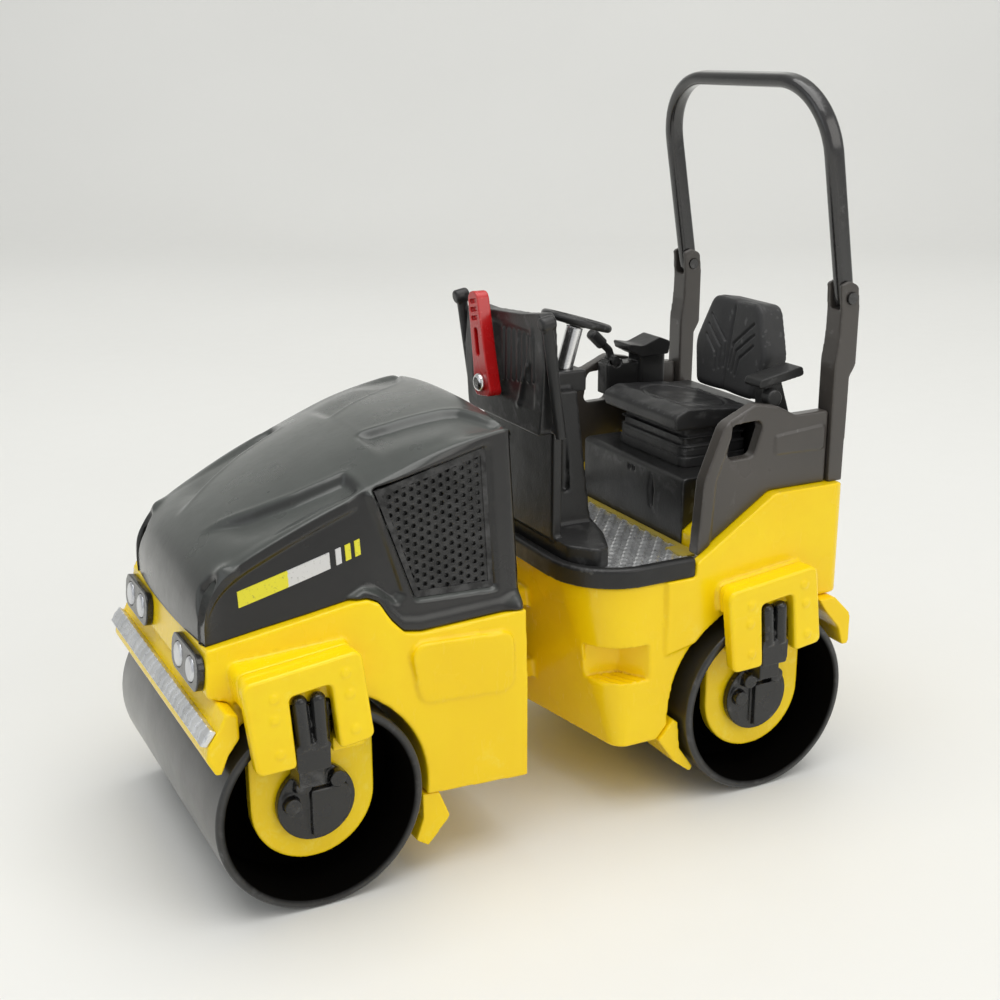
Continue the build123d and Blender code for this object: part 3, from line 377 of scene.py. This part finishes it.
def cast(node, voxel, passes, keep, relief):
    """A finer copy of one CAD node with the soft edges of a painted casting; it stands for the node.

    It is remeshed at voxel millimetres, smoothed, raised by the relief (if any) and thinned to the
    share of its faces given by keep.
    """
    slot = SLOT_OF[node]
    data = NODES[node].data.copy()
    data.transform(Matrix.Scale(1 / MM, 4))
    thing = bpy.data.objects.new(node + "_cast", data)
    bpy.context.collection.objects.link(thing)
    weld = thing.modifiers.new("weld", "WELD")
    weld.merge_threshold = 0.002
    grain = thing.modifiers.new("grain", "REMESH")
    grain.mode = "VOXEL"
    grain.voxel_size = voxel
    soft = thing.modifiers.new("soft", "SMOOTH")
    soft.factor = 0.5
    soft.iterations = passes
    shaped = evaluated(thing)
    if relief:
        raise_along_normals(shaped, relief)
    thing.modifiers.clear()
    thing.data = shaped
    bpy.data.meshes.remove(data)
    thin = thing.modifiers.new("thin", "DECIMATE")
    thin.ratio = keep
    shaped = evaluated(thing)
    thing.modifiers.clear()
    old, thing.data = thing.data, shaped
    bpy.data.meshes.remove(old)
    shaped.transform(Matrix.Scale(MM, 4))
    shaped.materials.clear()
    shaped.materials.append(MATERIALS[slot])
    for face in shaped.polygons:
        face.use_smooth = True
        face.material_index = 0
    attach(thing, BODY_OF[node])
    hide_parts(node)


# ---- hood -------------------------------------------------------------------------------------
HOOD_REAR = 2.25
HOOD_WALL = 0.9
# From the rear edge to the nose: the crease between top and side, the ridge, the side's lower edge.
CREASE = [(2.25, 9.25, 29.62), (4, 9.3, 29.45), (8, 9.2, 28.5), (12, 9.0, 27.0), (16, 8.65, 25.4),
          (20, 8.2, 23.45), (21.7, 8.05, 22.35), (22.55, 8.15, 21.45), (23.1, 8.4, 20.3), (23.3, 8.45, 19.2),
          (23.3, 8.4, 17.98)]
CENTRE = [(2.25, 0, 30.25), (4, 0, 30.3), (8, 0, 29.55), (12, 0, 28.15), (16, 0, 26.45), (20, 0, 24.4),
          (22.0, 0, 22.95), (22.95, 0, 21.9), (23.5, 0, 20.5), (23.7, 0, 19.2), (23.75, 0, 17.95)]
SKIRT = [(2.25, 10.62, 17.65), (9.8, 10.5, 17.35), (11.0, 10.36, 17.55), (11.9, 10.2, 18.55),
         (12.6, 10.04, 19.75), (13.3, 9.95, 20.05), (14.2, 9.85, 20.0), (17.0, 9.5, 19.4),
         (20.0, 8.98, 18.75), (23.3, 8.4, 17.96)]


def mirrored(half):
    """A whole outline, seen from above, from its left half."""
    return half + [(x, -y) for x, y in reversed(half)]


# Raised fields of the top, seen from above: the long one and the shorter one behind it.
DOME = mirrored([(26.0, 0.6), (21.6, 2.2), (18.5, 4.3), (16.3, 5.45), (14.2, 6.05), (12.95, 6.3),
                 (12.75, 7.4), (12.6, 11.0), (-2.0, 11.0)])
PANEL = mirrored([(10.6, 2.5), (8.65, 3.35), (6.85, 3.8), (5.0, 4.25), (4.1, 4.9), (3.5, 6.2), (2.9, 7.6),
                  (2.0, 8.2), (-2.0, 8.2)])
# On the side, seen from the left: the grille's pocket and the raised border around it.
POCKET = [(12.2, 26.7), (4.2, 28.6), (4.2, 19.2), (9.9, 19.4)]
BORDER = [(13.05, 27.9), (0.0, 31.5), (0.0, 15.0), (10.6, 15.0), (12.2, 17.6), (13.0, 19.3), (14.6, 20.1),
          (13.4, 20.75), (12.2, 20.3), (11.35, 19.6), (10.95, 19.9)]
# On the nose, seen from the front: the hollow at each corner.
NOTCH = [(6.55, 21.1), (7.0, 21.95), (7.75, 22.1), (8.3, 21.2), (8.2, 19.7), (7.75, 19.2), (7.25, 19.9)]
WALL_SLOPE = 0.12
WALL_ANGLE = math.atan(WALL_SLOPE)
WALL_MIDDLE = 23.0            # the height that the grille's own measures start from


def wall_plane_y(z):
    """The upright plane of the hood's rear side border."""
    return 10.7 - WALL_SLOPE * (z - 16.5)


def through(points):
    """Points along a smooth curve through the given ones."""
    points = np.array(points, float)
    fine = []
    for i in range(len(points) - 1):
        a, b = points[max(i - 1, 0)], points[i]
        c, d = points[i + 1], points[min(i + 2, len(points) - 1)]
        t = np.linspace(0, 1, 60, endpoint=False)[:, None]
        square, cube = 2 * a - 5 * b + 4 * c - d, 3 * b - a - 3 * c + d
        fine.append(0.5 * (2 * b + (c - a) * t + square * t**2 + cube * t**3))
    return np.vstack(fine + [points[-1:]])


def hood_grid(rows=200, across=150, down=96):
    """The hood's outer skin as rows of points: left side, over the top, right side."""
    crease, centre = through(CREASE), through(CENTRE)
    run = np.concatenate([[0], np.cumsum(np.linalg.norm(np.diff(crease, axis=0), axis=1))])
    even = np.linspace(0, run[-1], rows)
    crease = np.column_stack([np.interp(even, run, crease[:, k]) for k in range(3)])
    centre = np.column_stack([np.interp(even, run, centre[:, k]) for k in range(3)])
    skirt = np.array(SKIRT)
    low = np.column_stack([crease[:, 0], np.interp(crease[:, 0], skirt[:, 0], skirt[:, 1]),
                           np.interp(crease[:, 0], skirt[:, 0], skirt[:, 2])])
    t = np.linspace(1, -1, across)[None, :, None]
    bow = 1 - np.abs(t) ** 2.3
    no_y = np.array([1, 0, 1])
    top = crease[:, None, :] * no_y + (centre - crease)[:, None, :] * bow * no_y
    top[..., 1] = crease[:, None, 1] * t[..., 0]
    q = np.linspace(1, 0, down, endpoint=False)[None, :, None]
    left = low[:, None, :] * q + crease[:, None, :] * (1 - q)
    right = left[:, ::-1] * np.array([1, -1, 1])
    return np.concatenate([left, top, right], axis=1), across, down


def grid_normals(grid):
    """Unit normals of a grid of points, pointing up at its middle."""
    along, over = np.gradient(grid, axis=0), np.gradient(grid, axis=1)
    normal = np.cross(over, along)
    normal /= np.maximum(np.linalg.norm(normal, axis=2, keepdims=True), 1e-9)
    if normal[grid.shape[0] // 2, grid.shape[1] // 2][2] < 0:
        normal = -normal
    return normal


def top_relief(x, y, z, gap):
    """The top's two raised fields, sunk around their outlines, and the hollows at the nose."""
    dome, panel = signed_distance(x, y, DOME), signed_distance(x, y, PANEL)
    front = smooth_step(21.9 - x, 2.6)
    valley = smooth_step(-dome, 0.6) * (1 - 0.75 * smooth_step(-dome - 1.0, 2.6))
    valley = 0.55 * valley * front * smooth_step(gap, 0.9)
    tip = smooth_step(10.9 - x, 0.8)
    shelf = smooth_step(-panel, 0.6) * (1 - 0.85 * smooth_step(-panel - 0.7, 3.4))
    shelf = 0.42 * shelf * tip * smooth_step(gap, 1.2) * smooth_step(x - 2.3, 0.8) * (x < 11.2)
    bead = 0.06 * bell(dome, 0.1, 0.17) * front * (x > 12.4)
    bead = bead + 0.06 * bell(panel, 0.1, 0.17) * tip * (x > 3.2) * (x < 10.4)
    scoop = 0.75 * smooth_step(signed_distance(np.abs(y), z, NOTCH) + 0.05, 0.4) * (x > 21.2)
    return bead * smooth_step(gap, 0.9) - valley - shelf - scoop


def side_relief(x, y, z, drop, height):
    """The side's raised border with the grille's pocket, the ledge under the crease and the flared foot.

    drop is the distance below the crease, height the distance above the side's lower edge.
    """
    border = smooth_step(signed_distance(x, z, BORDER), 0.3)
    plane = np.maximum(wall_plane_y(z) + 0.12 - np.abs(y), 0.0) * border
    pocket = smooth_step(signed_distance(x, z, POCKET) + 0.06, 0.14)
    raised = plane * smooth_step(drop, 0.5) * (1 - pocket) - 0.5 * pocket
    ledge = smooth_step(drop, 0.12) * (1 - smooth_step(drop - 0.75, 0.25))
    ledge = 0.2 * ledge * smooth_step(x - 13.2, 0.6) * smooth_step(23.1 - x, 1.0)
    flare = 0.55 * smooth_step(4.0 - x, 1.6) * smooth_step(18.9 - z, 1.2)
    lip = 0.12 * smooth_step(13.5 - x, 0.8) * smooth_step(1.1 - height, 0.7)
    return raised + ledge + flare + lip


def hood_relief(grid, across, down):
    """How far each outer point moves along its normal."""
    x, y, z = grid[..., 0], grid[..., 1], grid[..., 2]
    crease_y, crease_z = grid[:, down, 1][:, None], grid[:, down, 2][:, None]
    on_top = np.zeros((1, grid.shape[1]), bool)
    on_top[:, down:down + across] = True
    gap = np.maximum(np.abs(crease_y), 1) - np.abs(y)
    drop = np.where(on_top, 0.0, np.maximum(crease_z - z, 0.0))
    height = z - grid[:, 0, 2][:, None]
    knuckle = 0.3 * bell(np.abs(y), 7.7, 0.55) * bell(z, 22.4, 0.38) * (x > 21.0)
    rear = np.clip((HOOD_REAR + 0.7 - x) / 0.7, 0.0, 1.0)
    rounding = 0.7 * (1 - np.sqrt(np.maximum(1 - rear**2, 0.0)))
    return np.where(on_top, top_relief(x, y, z, gap), side_relief(x, y, z, drop, height)) + knuckle - rounding


def softened(grid):
    """The grid with each inner point halfway to its neighbours' mean, across and then along."""
    grid[:, 1:-1] = grid[:, 1:-1] * 0.5 + (grid[:, :-2] + grid[:, 2:]) * 0.25
    grid[1:-1] = grid[1:-1] * 0.5 + (grid[:-2] + grid[2:]) * 0.25
    return grid


def shell_faces(rows, columns):
    """Faces of a closed shell: an outer grid of points, then an inner one of the same size."""
    shift = rows * columns
    faces = []
    for r in range(rows - 1):
        for c in range(columns - 1):
            a = r * columns + c
            faces.append((a, a + 1, a + 1 + columns, a + columns))
            faces.append((shift + a, shift + a + columns, shift + a + 1 + columns, shift + a + 1))
    for r in range(rows - 1):
        for c in (0, columns - 1):
            a = r * columns + c
            faces.append((a, a + columns, shift + a + columns, shift + a))
    last = (rows - 1) * columns
    for c in range(columns - 1):
        faces.append((last + c, last + c + 1, shift + last + c + 1, shift + last + c))
    faces.append(tuple(range(columns)))
    faces.append(tuple(shift + c for c in reversed(range(columns))))
    faces.append((0, columns - 1, shift + columns - 1, shift))
    return faces


def hood_visual():
    """The hood as one closed shell, open below, with its rear wall flat."""
    grid, across, down = hood_grid()
    normals = grid_normals(grid)
    # The sides run out to nothing at the nose, so their last rows borrow the normals before them.
    closing = grid.shape[0] - 26
    normals[closing:, :down + 2] = normals[closing - 1, :down + 2]
    normals[closing:, -down - 2:] = normals[closing - 1, -down - 2:]
    inner = grid - HOOD_WALL * normals
    outer = softened(softened(grid + normals * hood_relief(grid, across, down)[..., None]))
    outer[0, :, 0] = HOOD_REAR
    inner[0, :, 0] = HOOD_REAR + HOOD_WALL
    points = list(outer.reshape(-1, 3)) + list(inner.reshape(-1, 3))
    piece("hood_shell", points, shell_faces(*grid.shape[:2]), "front_frame", "hood_black", ["hood"])


# ---- grilles ------------------------------------------------------------------------------------
GRILLE_PITCH = 0.6
GRILLE_HOLE = 0.155           # radius
GRILLE_BACK, GRILLE_FLOOR, GRILLE_FRAME = -0.58, -0.5, -0.2  # levels, outwards from the border's plane


def on_wall(x, up, out, side):
    """A point on the hood's side border plane: up is measured along the wall, out away from it."""
    y = wall_plane_y(WALL_MIDDLE) - up * math.sin(WALL_ANGLE) + out * math.cos(WALL_ANGLE)
    return (x, side * y, WALL_MIDDLE + up * math.cos(WALL_ANGLE) + out * math.sin(WALL_ANGLE))


def prism(outline, low, high, place):
    """A closed plate between two levels."""
    count = len(outline)
    points = [place(a, b, low) for a, b in outline] + [place(a, b, high) for a, b in outline]
    faces = [tuple(range(count)), tuple(range(count, 2 * count))]
    faces += [(i, (i + 1) % count, count + (i + 1) % count, count + i) for i in range(count)]
    return points, faces


def grille_cell(x, up, place):
    """One six-sided hole with a raised rim, in a six-sided patch of plate."""
    def ring(radius, level):
        angles = [math.pi / 3 * n for n in range(6)]
        return [place(x + radius * math.cos(a), up + radius * math.sin(a), level) for a in angles]
    patch = GRILLE_PITCH / math.sqrt(3)
    points = ring(patch, -0.27) + ring(GRILLE_HOLE + 0.05, -0.25) + ring(GRILLE_HOLE, -0.29)
    points += ring(GRILLE_HOLE, GRILLE_FLOOR) + ring(patch, GRILLE_FLOOR)
    return points, ring_faces(5, 6)


def grille_visual(side, label):
    """A plate of small six-sided holes in staggered columns, inside a flat frame."""
    def place(x, up, out):
        return on_wall(x, up, out, side)

    def shrunk(by):
        return [tuple(middle + (np.array(p) - middle) * (1 - by)) for p in outline]

    outline = [(x, (z - WALL_MIDDLE) / math.cos(WALL_ANGLE)) for x, z in POCKET]
    middle = np.mean(outline, axis=0)
    wide, slim, edge = shrunk(0.012), shrunk(0.115), shrunk(0.06)
    parts = [prism(wide, GRILLE_BACK, GRILLE_FLOOR, place)]
    for i in range(18):
        for k in range(20):
            x = 3.9 + i * GRILLE_PITCH * math.sqrt(3) / 2
            up = -4.6 + k * GRILLE_PITCH + (i % 2) * GRILLE_PITCH / 2
            if signed_distance(np.array([x]), np.array([up]), edge)[0] >= 0.0:
                parts.append(grille_cell(x, up, place))
    root = GRILLE_BACK + 0.02
    frame_rings = [(wide, root), (wide, GRILLE_FRAME), (slim, GRILLE_FRAME), (slim, root)]
    parts.append(([place(a, b, level) for ring, level in frame_rings for a, b in ring], ring_faces(4, 4)))
    points, faces = join_meshes(parts)
    piece("grille_mesh_" + label, points, faces, "front_frame", "grille_black", ["grille_" + label],
          flat=True)


# ---- rolled, ribbed and moulded pieces -------------------------------------------------------------
def drum_visual(end, x):
    """The rolled skin of a drum, with rounded rims and a plain inside."""
    rim, chamfer, turns = 0.22, 0.12, 144
    shoulder, rim_start = DRUM_RADIUS - rim, DRUM_HALF_WIDTH - rim
    quarter = [math.radians(90 * step / 6) for step in range(7)]
    profile = [(shoulder + rim * math.sin(a), -rim_start - rim * math.cos(a)) for a in quarter]
    profile += [(shoulder + rim * math.cos(a), rim_start + rim * math.sin(a)) for a in quarter]
    profile += [(DRUM_INNER + chamfer, DRUM_HALF_WIDTH), (DRUM_INNER, DRUM_HALF_WIDTH - chamfer)]
    profile += [(DRUM_INNER, y) for y in (6.0, 0.0, -6.0)]
    profile += [(DRUM_INNER, chamfer - DRUM_HALF_WIDTH), (DRUM_INNER + chamfer, -DRUM_HALF_WIDTH)]
    points = []
    for turn in range(turns):
        a = 2 * math.pi * turn / turns
        points += [(x + r * math.sin(a), y, DRUM_RADIUS + r * math.cos(a)) for r, y in profile]
    faces = ring_faces(turns, len(profile))
    piece(end + "_drum_skin", points, faces, end + "_drum", "drum_black", [end + "_drum_shell"])


# A relief takes the points and normals of a cast piece and says how far each point moves outwards.
def slimmer(points, normals):
    """A touch inside the CAD shape, so that the travel lever swings clear of its saddle."""
    return np.full(len(points), -0.03)


def tread_relief(points, normals):
    """Slanting raised ribs, each a chain of small lozenges."""
    x, y = points[:, 0], points[:, 1]
    pitch, lozenge, run_x, run_y, run = 1.02, 0.85, 4.72, 5.87, 7.53
    across = (x * run_y - y * run_x) / run
    along = (x * run_x + y * run_y) / run
    ridge = np.abs((across / pitch) % 1.0 - 0.5)
    lump = 0.5 + 0.5 * np.cos(2 * math.pi * along / lozenge + np.floor(across / pitch) * 2.1)
    height = 0.13 * smooth_step(0.27 + 0.07 * lump - ridge, 0.13) * (0.75 + 0.25 * lump)
    return height * (normals[:, 2] > 0.6)


def strip_relief(points, normals):
    """Raised lozenges along the bumper's bright strip, sunk so that they end level with its face."""
    y, z, pitch = points[:, 1], points[:, 2], 0.95
    lump = np.maximum(0, np.cos(2 * math.pi * y / pitch + 0.8 * np.sin(z * 9)))
    return (0.07 * lump - 0.06) * (normals[:, 2] > 0.2)


def step_relief(points, normals):
    """Ribs on the floor of each step in the sides of the rear chassis."""
    x, y, z = points.T
    side, step_height, pitch, slant = np.abs(y), 10.3, 0.62, 0.55
    on_step = (side > 8.6) & (np.abs(z - step_height) < 0.7) & (normals[:, 2] > 0.7) & (x > -9.5) & (x < -2.5)
    ribs = 0.5 + 0.5 * np.cos(2 * math.pi * (x + slant * side) / pitch)
    cross = 0.5 + 0.5 * np.cos(2 * math.pi * (x - slant * side) / (2 * pitch))
    return 0.13 * ribs * (0.6 + 0.4 * cross) * on_step


def seat_back_relief(points, normals):
    """A centre seam and nested chevrons on the front."""
    side, down = np.abs(points[:, 1]), points[:, 2].max() - points[:, 2]
    front = smooth_step(normals[:, 0] - 0.35, 0.3)
    move = groove(side, 0.16, 0.16) * smooth_step(down - 0.3, 0.5)
    for seam in ([(2.7, 1.5), (0.5, 3.3), (0.35, 5.2)], [(2.9, 2.3), (1.0, 3.8), (0.85, 5.4)],
                 [(3.0, 3.1), (1.55, 4.3), (1.35, 5.6)]):
        move = move + groove(line_distance(side, down, seam), 0.17, 0.15)
    puff = 0.12 * np.sin(np.clip(side / 4.6, 0, 1) * math.pi)
    return (move + puff) * front


def cushion_relief(points, normals):
    """An oval inset panel with a stitched edge, and a soft crown."""
    x, y = points[:, 0], points[:, 1]
    oval = np.hypot((x - (x.max() + x.min()) / 2 + 0.3) / 2.7, y / 3.9)
    up = smooth_step(normals[:, 2] - 0.4, 0.3)
    ring = groove(np.abs(oval - 1) * 3.2, 0.22, 0.16)
    dish = -0.14 * smooth_step(1 - oval, 0.5)
    wrinkle = 0.035 * np.sin(x * 2.1 + 1.3 * np.sin(y * 1.4)) * np.sin(y * 1.7 + x)
    return (ring + dish + wrinkle) * up


def dash_relief(points, normals):
    """The dash front: a shallow dished field with a rolled rim and a curved rib at its outer side."""
    y, z = points[:, 1], points[:, 2]
    front = smooth_step(normals[:, 0] - 0.5, 0.3)
    field = smooth_step(4.9 - np.abs(y), 0.5) * smooth_step(z - 29.2, 0.6) * smooth_step(34.9 - z, 0.5)
    rib = bell(line_distance(y, z, [(4.3, 34.6), (4.0, 32.6), (2.9, 30.9), (2.4, 29.4)]), 0.0, 0.28)
    return (0.14 * rib - 0.12 * field) * front


def skirt_relief(points, normals):
    """Two soft tiers of the suspension skirt under the seat, with a slack fold between them."""
    z = points[:, 2]
    part = (z - z.min()) / (z.max() - z.min())
    fill = smooth_step(part - 0.23, 0.03) - smooth_step(part - 0.49, 0.03) + smooth_step(part - 0.74, 0.03)
    tier = -0.3 * smooth_step(part - 0.5, 0.05)
    fold = groove(np.abs(part - 0.52), 0.05, 0.12) + groove(np.abs(part - 0.8), 0.04, 0.07)
    return (0.18 * fill + tier + fold) * (np.abs(normals[:, 2]) < 0.6)


# Node: voxel size, smoothing passes, share of the faces kept, relief.
CAST = {
    "front_chassis": (0.13, 4, 0.3, None), "rear_chassis": (0.13, 4, 0.35, step_relief),
    "platform_tray": (0.1, 3, 0.4, None), "tread_plate": (0.07, 1, 0.6, tread_relief),
    "seat_box": (0.12, 3, 0.4, None), "steering_console": (0.12, 3, 0.4, None),
    "dash_panel": (0.09, 3, 0.5, dash_relief), "dash_rails": (0.07, 3, 0.6, None),
    "seat_base": (0.09, 4, 0.5, skirt_relief), "seat_cushion": (0.08, 6, 0.6, cushion_relief),
    "seat_back": (0.07, 6, 0.6, seat_back_relief),
    "armrest_left": (0.07, 4, 0.5, None), "armrest_right": (0.06, 2, 0.5, slimmer),
    "travel_lever": (0.05, 3, 0.6, slimmer), "red_lever": (0.05, 4, 0.6, None),
    "steering_wheel": (0.06, 3, 0.6, None), "steering_column": (0.05, 2, 0.6, None),
    "rops_hoop": (0.11, 5, 0.4, None), "bumper": (0.1, 4, 0.4, None),
    "bumper_strip": (0.06, 2, 0.6, strip_relief), "front_scraper": (0.1, 4, 0.4, None),
    "rear_scraper_front": (0.1, 4, 0.4, None), "rear_scraper_rear": (0.1, 4, 0.4, None),
    "joint_link": (0.1, 3, 0.5, None), "lamp_lenses": (0.05, 3, 0.7, None),
}
for side in ("left", "right"):
    CAST[f"console_cheek_{side}"] = (0.1, 4, 0.4, None)
    CAST[f"rops_bracket_{side}"] = (0.09, 4, 0.5, None)
    CAST[f"headlight_{side}"] = (0.05, 3, 0.6, None)
    for end in ("front", "rear"):
        CAST[f"{end}_fork_{side}"] = (0.08, 5, 0.5, None)
        CAST[f"{end}_drum_support_{side}"] = (0.08, 4, 0.5, None)
        CAST[f"{end}_drum_motor_{side}"] = (0.07, 4, 0.5, None)

for node, how in CAST.items():
    cast(node, *how)
hood_visual()
grille_visual(1, "left")
grille_visual(-1, "right")
drum_visual("front", AXLE_X)
drum_visual("rear", -AXLE_X)


# ---- floor, light and camera ------------------------------------------------------------------
def backdrop():
    """A pale sweep, in metres: floor in front, a gentle curve, then a wall behind."""
    front, wall, bend, reach, height, steps = 0.9, -0.46, 0.16, 1.6, 1.3, 16
    profile = [(front, 0.0), (wall + bend, 0.0)]
    for step in range(1, steps + 1):
        angle = math.radians(90 * step / steps)
        profile.append((wall + bend - bend * math.sin(angle), bend - bend * math.cos(angle)))
    profile.append((wall, height))
    data = bpy.data.meshes.new("backdrop")
    points = [(x, y, z) for y, z in profile for x in (-reach, reach)]
    faces = [(2 * i, 2 * i + 1, 2 * i + 3, 2 * i + 2) for i in range(len(profile) - 1)]
    data.from_pydata(points, [], faces)
    for face in data.polygons:
        face.use_smooth = True
    sweep = bpy.data.objects.new("backdrop", data)
    bpy.context.collection.objects.link(sweep)
    sweep.rotation_euler[2] = math.radians(-27)
    g = Graph("pale_sweep")
    tone = g.mix(g.ramp(g.noise(130.0, 2.0), 0.35, 0.65), (0.80, 0.80, 0.775), (0.775, 0.775, 0.75))
    g.set(Base_Color=tone, Roughness=g.ramp(g.noise(3.0, 3.0), 0.3, 0.7, 0.5, 0.62))
    g.set(Normal=g.bump(g.noise(0.6, 3.0), 0.03, 0.3))
    data.materials.append(g.material)


def area_light(name, place, size, power, colour):
    """A soft panel that faces the toy."""
    lamp = bpy.data.lights.new(name, "AREA")
    lamp.shape = "RECTANGLE"
    lamp.size, lamp.size_y = size
    lamp.energy = power
    lamp.color = colour
    thing = bpy.data.objects.new(name, lamp)
    bpy.context.collection.objects.link(thing)
    thing.location = place
    thing.rotation_euler = (Vector((0, 0, 0.02)) - Vector(place)).to_track_quat("-Z", "Y").to_euler()


def studio():
    """A large light above, a cool one ahead of the nose, a warm one at the near side, and a dim room."""
    area_light("key_top", (0.0, 0.04, 0.42), (0.45, 0.45), 1.4, (1.0, 0.99, 0.97))
    area_light("left_wall", (0.42, 0.02, 0.2), (0.3, 0.3), 0.16, (0.9, 0.96, 1.0))
    area_light("camera_side", (-0.2, 0.42, 0.24), (0.4, 0.3), 0.58, (1.0, 0.97, 0.92))
    world = bpy.data.worlds.new("room")
    world.use_nodes = True
    background = world.node_tree.nodes["Background"]
    background.inputs["Color"].default_value = (0.98, 0.99, 1.0, 1)
    background.inputs["Strength"].default_value = 0.52
    bpy.context.scene.world = world


def camera():
    """The view over the left side of the nose, in metres."""
    lens = bpy.data.cameras.new("main")
    lens.lens = 52.7
    lens.sensor_width = 36.0
    lens.clip_start = 0.005
    lens.clip_end = 10.0
    thing = bpy.data.objects.new("main_camera", lens)
    bpy.context.collection.objects.link(thing)
    towards = Vector((-0.4384, -0.8484, -0.2967)).to_track_quat("-Z", "Y").to_matrix().to_4x4()
    roll = Matrix.Rotation(math.radians(-0.13), 4, "Z")
    thing.location = (0.0455, 0.0910, 0.0534)
    thing.rotation_mode = "QUATERNION"
    thing.rotation_quaternion = (towards @ roll).to_quaternion()
    bpy.context.scene.camera = thing


backdrop()
studio()
camera()
bpy.context.scene.view_settings.view_transform = "Standard"
